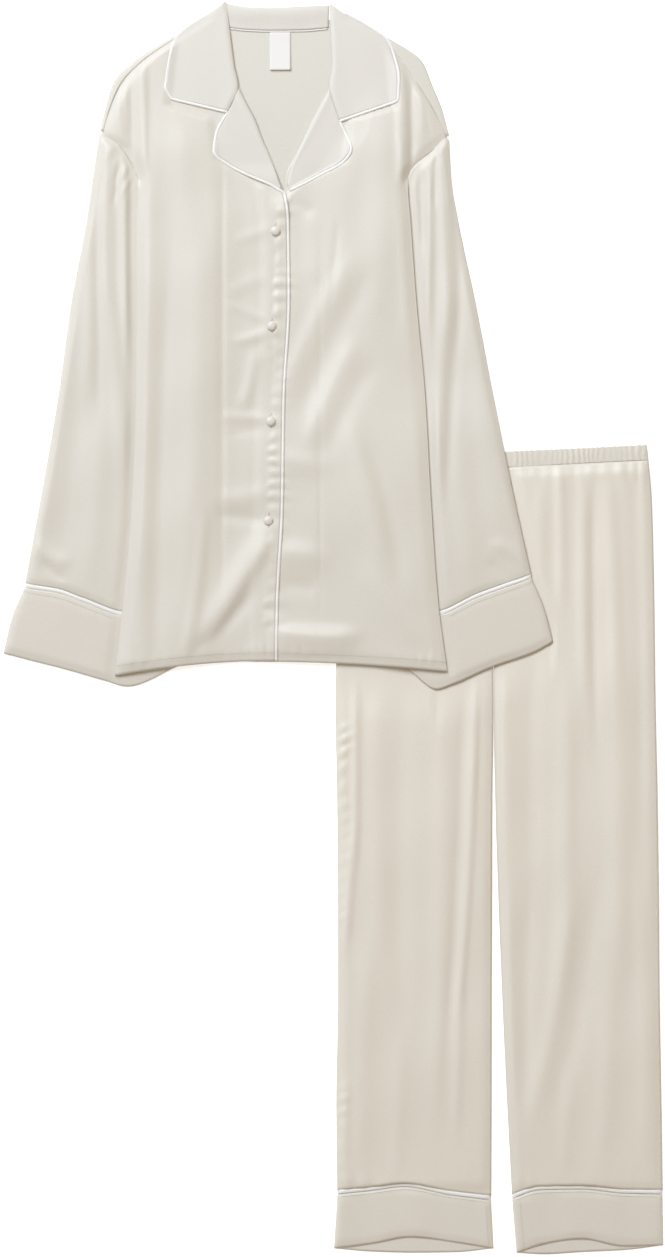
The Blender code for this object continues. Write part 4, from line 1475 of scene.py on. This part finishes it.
LEFT_LEG_ROWS = (
    ((-188, 72), (-149, 76), (-107, 81), (-53, 71), (-3.6, 65)),
    ((-189, 180), (-149, 180), (-107, 180), (-53, 180), (-3.2, 180)),
    ((-187, 300), (-148, 300), (-106, 300), (-53, 300), (-3, 300)),
    ((-187, 420), (-148, 420), (-106, 420), (-53, 420), (-2.6, 420)),
    ((-188, 540), (-148, 540), (-106, 540), (-53, 540), (-2.2, 540)),
    ((-190, 662), (-148, 660), (-106, 656), (-53, 650), (-1, 642)),
    ((-187, 780), (-146, 780), (-104, 780), (-52, 780), (-0.8, 780)),
    ((-184, 900), (-143, 900), (-102, 900), (-51, 900), (-0.8, 900)),
    ((-182, 937.4), (-141, 937.6), (-101, 937.8), (-50, 938.1), (-0.8, 938.3)),
)
RIGHT_LEG_ROWS = (
    ((21.6, 67), (55, 77), (105, 78), (157, 73), (202, 72)),
    ((15.6, 180), (52, 180), (103, 180), (155, 180), (200.5, 180)),
    ((10.2, 300), (48, 300), (100, 300), (152, 300), (198.5, 300)),
    ((5.4, 420), (45, 420), (98, 420), (150, 420), (197.5, 420)),
    ((1.6, 540), (42, 540), (96, 540), (148, 540), (196, 540)),
    ((0, 642), (40, 648), (94, 654), (146, 658), (193.5, 660)),
    ((0, 780), (40, 780), (94, 780), (146, 780), (192, 780)),
    ((0, 900), (40, 900), (92, 900), (143, 900), (189, 900)),
    ((0, 938.3), (40, 940.3), (90, 942.7), (140, 945.2), (185, 947.4)),
)


@dataclass
class Trousers:
    """Straight elastic-waist trousers: four leg panels, the waistband, and a piped cuff on each leg."""

    place: Place
    shirt_place: Place
    band: float = 3.6
    seam: float = 0.35
    wall: float = 0.8
    tall_cell: float = 4.2     # longest run between two mesh rows of a leg
    rib_pitch: float = 6.6
    waist: tuple[Table, ...] = (
        ((-182, 937.6), (-91, 938), (0, 938.6), (92, 943), (185.4, 947.7)),
        ((-181, 948), (-90, 948), (0, 948.5), (93, 953), (184.5, 957)),
        ((-179, 958), (-89, 957.5), (0, 958), (94, 961.5), (183, 966)),
    )
    # front's lower edge, back's lower edge, upper edge
    left_cuff: tuple[Table, ...] = (
        ((-192, 2.2), (-149, 7.6), (-100, 16), (-46, 9.6), (-0.6, 2.2)),
        ((-192, 2.2), (-149, -1.6), (-100, -3.1), (-46, -2.4), (-0.6, 2.2)),
        ((-188, 67.2), (-149, 71.2), (-107, 76.2), (-53, 66.2), (-3.6, 60.2)),
    )
    right_cuff: tuple[Table, ...] = (
        ((27, -3.1), (60, 7.6), (105, 13.8), (158, 4.8), (203, 6)),
        ((27, -3.1), (60, -5), (105, -2.4), (158, 0.2), (203, 6)),
        ((21.6, 62.2), (55, 72.2), (105, 73.2), (157, 68.2), (202, 67.2)),
    )

    def uncovered(self, x: np.ndarray, y: np.ndarray) -> np.ndarray:
        """Tell where the trousers lie in the open, from the shirt's lower and right outline.

        Args:
            x: Places across, in millimetres of the trousers' frame.
            y: Places up.

        Returns:
            1 in the open, 0 under the shirt and a soft change between.
        """
        shift_x = self.shirt_place[0] - self.place[0]
        shift_y = self.shirt_place[1] - self.place[1]
        # along the shirt's hem and the lower edge of its right cuff, then up the right sleeve's outer fold
        low_x = np.array([-200.0, 180.0, 186.0, 256.0, 326.0, 332.0]) + shift_x
        low_x[0] = -400.0
        low_y = np.array([-8.0, -10.0, -25.0, 4.0, 32.0, 900.0]) + shift_y
        side_y = np.array([34.0, 115.0, 196.0, 324.0]) + shift_y
        side_x = np.array([326.0, 300.0, 282.0, 256.0]) + shift_x
        below = ease((np.interp(x, low_x, low_y) - y + 8.0) / 64.0)
        beyond = ease((x - np.interp(y, side_y, side_x)) / 14.0)
        return np.maximum(below, beyond)

    def folds(self, x: np.ndarray, y: np.ndarray, rows: np.ndarray) -> np.ndarray:
        """Read the folds of a leg, which are low along its sides and seams.

        Args:
            x: Places across, in millimetres of the trousers' frame.
            y: Places up.
            rows: The leg's table of rows.

        Returns:
            The folds' height at each place.
        """
        held = np.ravel(np.clip(y, 66, 946))
        left = glide(rows[:, 0, 1], rows[:, :1, 0], held).reshape(np.shape(y))
        right = glide(rows[:, -1, 1], rows[:, -1:, 0], held).reshape(np.shape(y))
        inward = np.minimum(x - left, right - x)
        edge = 0.15 + 0.85 * ease(inward / 12.0)
        top = np.interp(x, (-182.0, 0.0, 185.0), (937.0, 938.0, 947.0))
        seams = (0.35 + 0.65 * ease((top - y) / 14.0)) * (0.12 + 0.88 * ease((y - 68.0) / 16.0))
        return TROUSER_RELIEF.height(x, y) * edge * seams * self.uncovered(x, y)

    def build(self) -> None:
        """Make every part of the trousers."""
        for side, rows, cuff in ((Side.LEFT, LEFT_LEG_ROWS, self.left_cuff),
                                 (Side.RIGHT, RIGHT_LEG_ROWS, self.right_cuff)):
            table = np.array(rows, dtype=float)
            self.build_leg(side, table)
            self.build_band(side, table)
            self.build_cuff(side, cuff)
        self.build_waistband()

    def build_leg(self, side: Side, rows: np.ndarray) -> None:
        """Make the front and back panels of one leg.

        Args:
            side: The leg's side.
            rows: Its table of rows.
        """
        flat = loft(rows, self.tall_cell, CELL)
        x, y = flat[..., 0], flat[..., 1]
        folds = self.folds(x, y, rows)
        near = np.minimum(x - x[:, :1], x[:, -1:] - x)
        fold_down = EDGE_DROP * (1.0 - ease(near / FOLD_ROUND))
        for name, height, share in (("front", LAYER - fold_down, 1.0), ("back", 0.0, 0.3)):
            z = height + share * folds
            points = in_metres(x, y, z, self.place)
            piece_name = f"leg_{name}_{side.value}"
            mesh = grid_mesh(piece_name, points)
            face_up(mesh)
            piece = add_piece(piece_name, mesh, TROUSER_SATIN,
                              (f"trouser_{name}_{side.value}",))
            add_wall(piece, 1.0)
            declare_sheet([points])

    def tube(self, name: str, front: np.ndarray, back: np.ndarray, folds: np.ndarray, finish: Satin,
             node: str) -> np.ndarray:
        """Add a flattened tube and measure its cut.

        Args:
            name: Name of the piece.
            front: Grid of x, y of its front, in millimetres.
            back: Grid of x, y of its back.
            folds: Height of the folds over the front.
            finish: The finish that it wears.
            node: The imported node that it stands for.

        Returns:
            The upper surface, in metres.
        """
        x, y = front[..., 0], front[..., 1]
        near = from_folds(front)
        round_off = rounded(near)
        upper = in_metres(x, y, TUBE * (0.5 + 0.5 * round_off) + folds * ease(near / 7.0), self.place)
        lower = in_metres(back[..., 0], back[..., 1], 0.4 * (1.0 - round_off), self.place)
        piece = add_piece(name, tube_mesh(name, upper, lower), finish, (node,))
        add_wall(piece, -1.0, self.wall)
        declare_sheet([upper], layers=2)
        return upper

    def build_band(self, side: Side, rows: np.ndarray) -> None:
        """Make the piping band above one leg cuff.

        Args:
            side: The leg's side.
            rows: The leg's table of rows.
        """
        seam_row = loft(rows, self.tall_cell, CELL)[0]
        offsets = np.linspace(self.band + 2 * self.seam, -0.5, 9)
        band = np.stack([seam_row - (0.0, down) for down in offsets])
        dome = 0.45 + 0.7 * np.sin(np.linspace(0.0, math.pi, 9))[:, None] + 0 * band[..., 0]
        self.tube(f"leg_band_{side.value}", band, band, dome, PIPING_SATIN,
                  f"leg_piping_{side.value}")

    def build_cuff(self, side: Side, table: tuple[Table, ...]) -> None:
        """Make one leg cuff, whose front hangs a little shorter than its back, and its stitches.

        Args:
            side: The leg's side.
            table: The front's lower edge, the back's lower edge and the upper edge.
        """
        front_edge, back_edge, top_edge = (np.array(row, dtype=float) for row in table)
        front = loft(np.stack([front_edge, top_edge]), CELL, CELL)
        back = loft(np.stack([back_edge, top_edge]), CELL, CELL)
        rows, places = min(len(front), len(back)), min(front.shape[1], back.shape[1])
        picks_v = [np.linspace(0, len(grid) - 1, rows).round().astype(int) for grid in (front, back)]
        picks_u = [np.linspace(0, grid.shape[1] - 1, places).round().astype(int) for grid in (front, back)]
        front, back = front[picks_v[0]][:, picks_u[0]], back[picks_v[1]][:, picks_u[1]]
        x, y = front[..., 0], front[..., 1]
        share = np.linspace(0.0, 1.0, rows)[:, None]
        folds = 1.0 + 0.5 * np.sin(x / 17.0 + 1.0) + 0.35 * np.sin(x / 7.3 + y / 30.0)
        lip = -1.1 * (1.0 - ease(share * 7.0))
        folds = np.maximum(folds, 0.0) * ease(6 * (1 - share)) * (0.4 + 0.6 * ease(5 * share)) + lip
        name = f"leg_cuff_{side.value}"
        upper = self.tube(f"{name}_cloth", front, back, folds, LEG_CUFF_SATIN, name)
        on_top = (0.0, 0.0, 0.15 * MM)
        StitchRow().build(f"{name}_stitches", upper[-2, 2:-2] + on_top, THREAD, "cuff_satin")
        inseam = -3 if side is Side.LEFT else 3
        StitchRow().build(f"{name}_inseam", upper[1:-2, inseam] + on_top, THREAD, "cuff_satin")

    def build_waistband(self) -> None:
        """Make the elastic waistband, ribbed by its gathers."""
        flat = loft(np.array(self.waist, dtype=float), 1.6, 1.5)
        x, y = flat[..., 0], flat[..., 1]
        share = np.linspace(0.0, 1.0, len(flat))[:, None]
        spot = x + 1.6 * np.sin(x / 17.0) + 1.1 * np.sin(x / 6.1) + 0.5 * np.sin(y / 3.0 + x / 11.0)
        wave = 0.5 + 0.5 * np.cos(2 * math.pi * spot / self.rib_pitch)
        ribs = wave * (0.65 + 0.35 * np.sin(x / 13.0))
        folds = (0.3 + 1.1 * ribs) * np.sin(math.pi * (0.2 + 0.68 * share)) * self.uncovered(x, y)
        wavy = flat.copy()
        wavy[..., 1] += 0.7 * wave * share**3 * self.uncovered(x, y)
        self.tube("waistband_cloth", wavy, flat, folds, WAIST_SATIN, "waistband")


# ---------------------------------------------------------------- stage


@dataclass(frozen=True)
class Studio:
    """A plain pale floor, soft studio light and the camera that looks straight down on the set."""

    centre: tuple[float, float] = (-0.0006, 0.0)
    view_height: float = 1.5084
    distance: float = 4.2
    sensor: float = 36.0
    cool: tuple[float, float, float] = (0.813, 0.897, 1.0)
    plain: tuple[float, float, float] = (1.0, 1.0, 1.0)
    warm: tuple[float, float, float] = (1.0, 0.85, 0.67)
    sky: float = 0.25
    floor_half: float = 6.0
    floor_drop: float = 0.0004
    floor_glow: float = 0.5

    def build(self) -> None:
        """Make the floor, the lights and the camera."""
        self.add_floor()
        self.add_light("key", (-2.4, 3.5, 4.5), 3.6, 336.0, self.cool)
        self.add_light("crown", (-0.2, 1.5, 1.9), 1.5, 7.0, self.plain)
        self.add_light("fill", (2.6, -0.4, 3.4), 2.2, 13.0, self.warm)
        self.add_light("low", (0.1, -3.0, 3.2), 2.0, 12.0, self.warm)
        self.add_sky()
        self.add_camera()

    def add_sky(self) -> None:
        """Surround the set with a dim warm sky over a pale horizon."""
        world = bpy.data.worlds.new("studio")
        world.use_nodes = True
        nodes, links = world.node_tree.nodes, world.node_tree.links
        ways = nodes.new("ShaderNodeTexCoord")
        parts = nodes.new("ShaderNodeSeparateXYZ")
        links.new(ways.outputs["Generated"], parts.inputs["Vector"])
        ramp = nodes.new("ShaderNodeValToRGB")
        links.new(parts.outputs["Z"], ramp.inputs["Fac"])
        horizon, overhead = ramp.color_ramp.elements
        horizon.position, horizon.color = 0.1, (0.86, 0.86, 0.85, 1.0)
        overhead.position, overhead.color = 0.26, (*[self.sky * part for part in self.warm], 1.0)
        links.new(ramp.outputs["Color"], nodes["Background"].inputs["Color"])
        bpy.context.scene.world = world
        bpy.context.scene.view_settings.view_transform = "Standard"

    def add_floor(self) -> None:
        """Add the pale floor, which shines white round the set."""
        bm = bmesh.new()
        bmesh.ops.create_grid(bm, x_segments=1, y_segments=1, size=self.floor_half)
        bmesh.ops.translate(bm, vec=(0.0, 0.0, -self.floor_drop), verts=bm.verts)
        mesh = bpy.data.meshes.new("floor")
        bm.to_mesh(mesh)
        bm.free()
        material = bpy.data.materials.new("floor_white")
        material.use_nodes = True
        shader = material.node_tree.nodes["Principled BSDF"]
        shader.inputs["Base Color"].default_value = (0.93, 0.93, 0.93, 1.0)
        shader.inputs["Roughness"].default_value = 0.9
        shader.inputs["Specular IOR Level"].default_value = 0.1
        shader.inputs["Emission Color"].default_value = (1.0, 1.0, 1.0, 1.0)
        shader.inputs["Emission Strength"].default_value = self.floor_glow
        mesh.materials.append(material)
        floor = bpy.data.objects.new("floor", mesh)
        bpy.context.scene.collection.objects.link(floor)

    def add_light(self, name: str, where: tuple[float, float, float], size: float, power: float,
                  colour: tuple[float, float, float]) -> None:
        """Add one soft square light that looks at the set's middle.

        Args:
            name: Name of the light.
            where: Its place, in metres.
            size: Length of its side, in metres.
            power: Its power, in watts.
            colour: Its colour.
        """
        data = bpy.data.lights.new(name, "AREA")
        data.energy = power
        data.size = size
        data.color = colour
        lamp = bpy.data.objects.new(name, data)
        lamp.location = where
        lamp.rotation_euler = (-Vector(where)).to_track_quat("-Z", "Y").to_euler()
        bpy.context.scene.collection.objects.link(lamp)

    def add_camera(self) -> None:
        """Add the camera, straight above, with the top of the set at the top of the picture."""
        data = bpy.data.cameras.new("camera")
        data.sensor_fit = "VERTICAL"
        data.sensor_height = self.sensor
        data.lens = self.sensor * self.distance / self.view_height
        camera = bpy.data.objects.new("camera", data)
        camera.location = (self.centre[0], self.centre[1], self.distance)
        bpy.context.scene.collection.objects.link(camera)
        bpy.context.scene.camera = camera


def main() -> None:
    """Load the frame, dress the set piece by piece, and light it."""
    logging.basicConfig(level=logging.INFO, format="%(name)s %(message)s")
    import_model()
    Studio().build()
    cuff_low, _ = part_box("sleeve_cuff_left")
    back_low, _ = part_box("shirt_back")
    leg_low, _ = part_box("leg_cuff_left")
    leg_right_low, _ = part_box("leg_cuff_right")
    _, waist_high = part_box("waistband")
    shirt_place = (cuff_low[0] / MM + CUFF_REACH, back_low[1] / MM + HEM_DROP)
    trousers_place = (leg_low[0] / MM + LEG_REACH, leg_right_low[1] / MM + LEG_DROP)
    lay = ShirtLay(shirt_place, trousers_place[0] - TROUSERS_HALF, waist_high[1] / MM - WAIST_RIM)
    Trousers(trousers_place, shirt_place).build()
    for side, rows, cuff, relief in (
            (Side.LEFT, LEFT_SLEEVE_ROWS, LEFT_CUFF_ROWS, LEFT_SLEEVE_RELIEF),
            (Side.RIGHT, RIGHT_SLEEVE_ROWS, RIGHT_CUFF_ROWS, RIGHT_SLEEVE_RELIEF)):
        Sleeve(lay, side, rows, cuff, relief).build()
    ShirtBody(lay).build()
    Collar(lay).build()
    Fastenings(lay).build()
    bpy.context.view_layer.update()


if __name__ == "__main__":
    main()
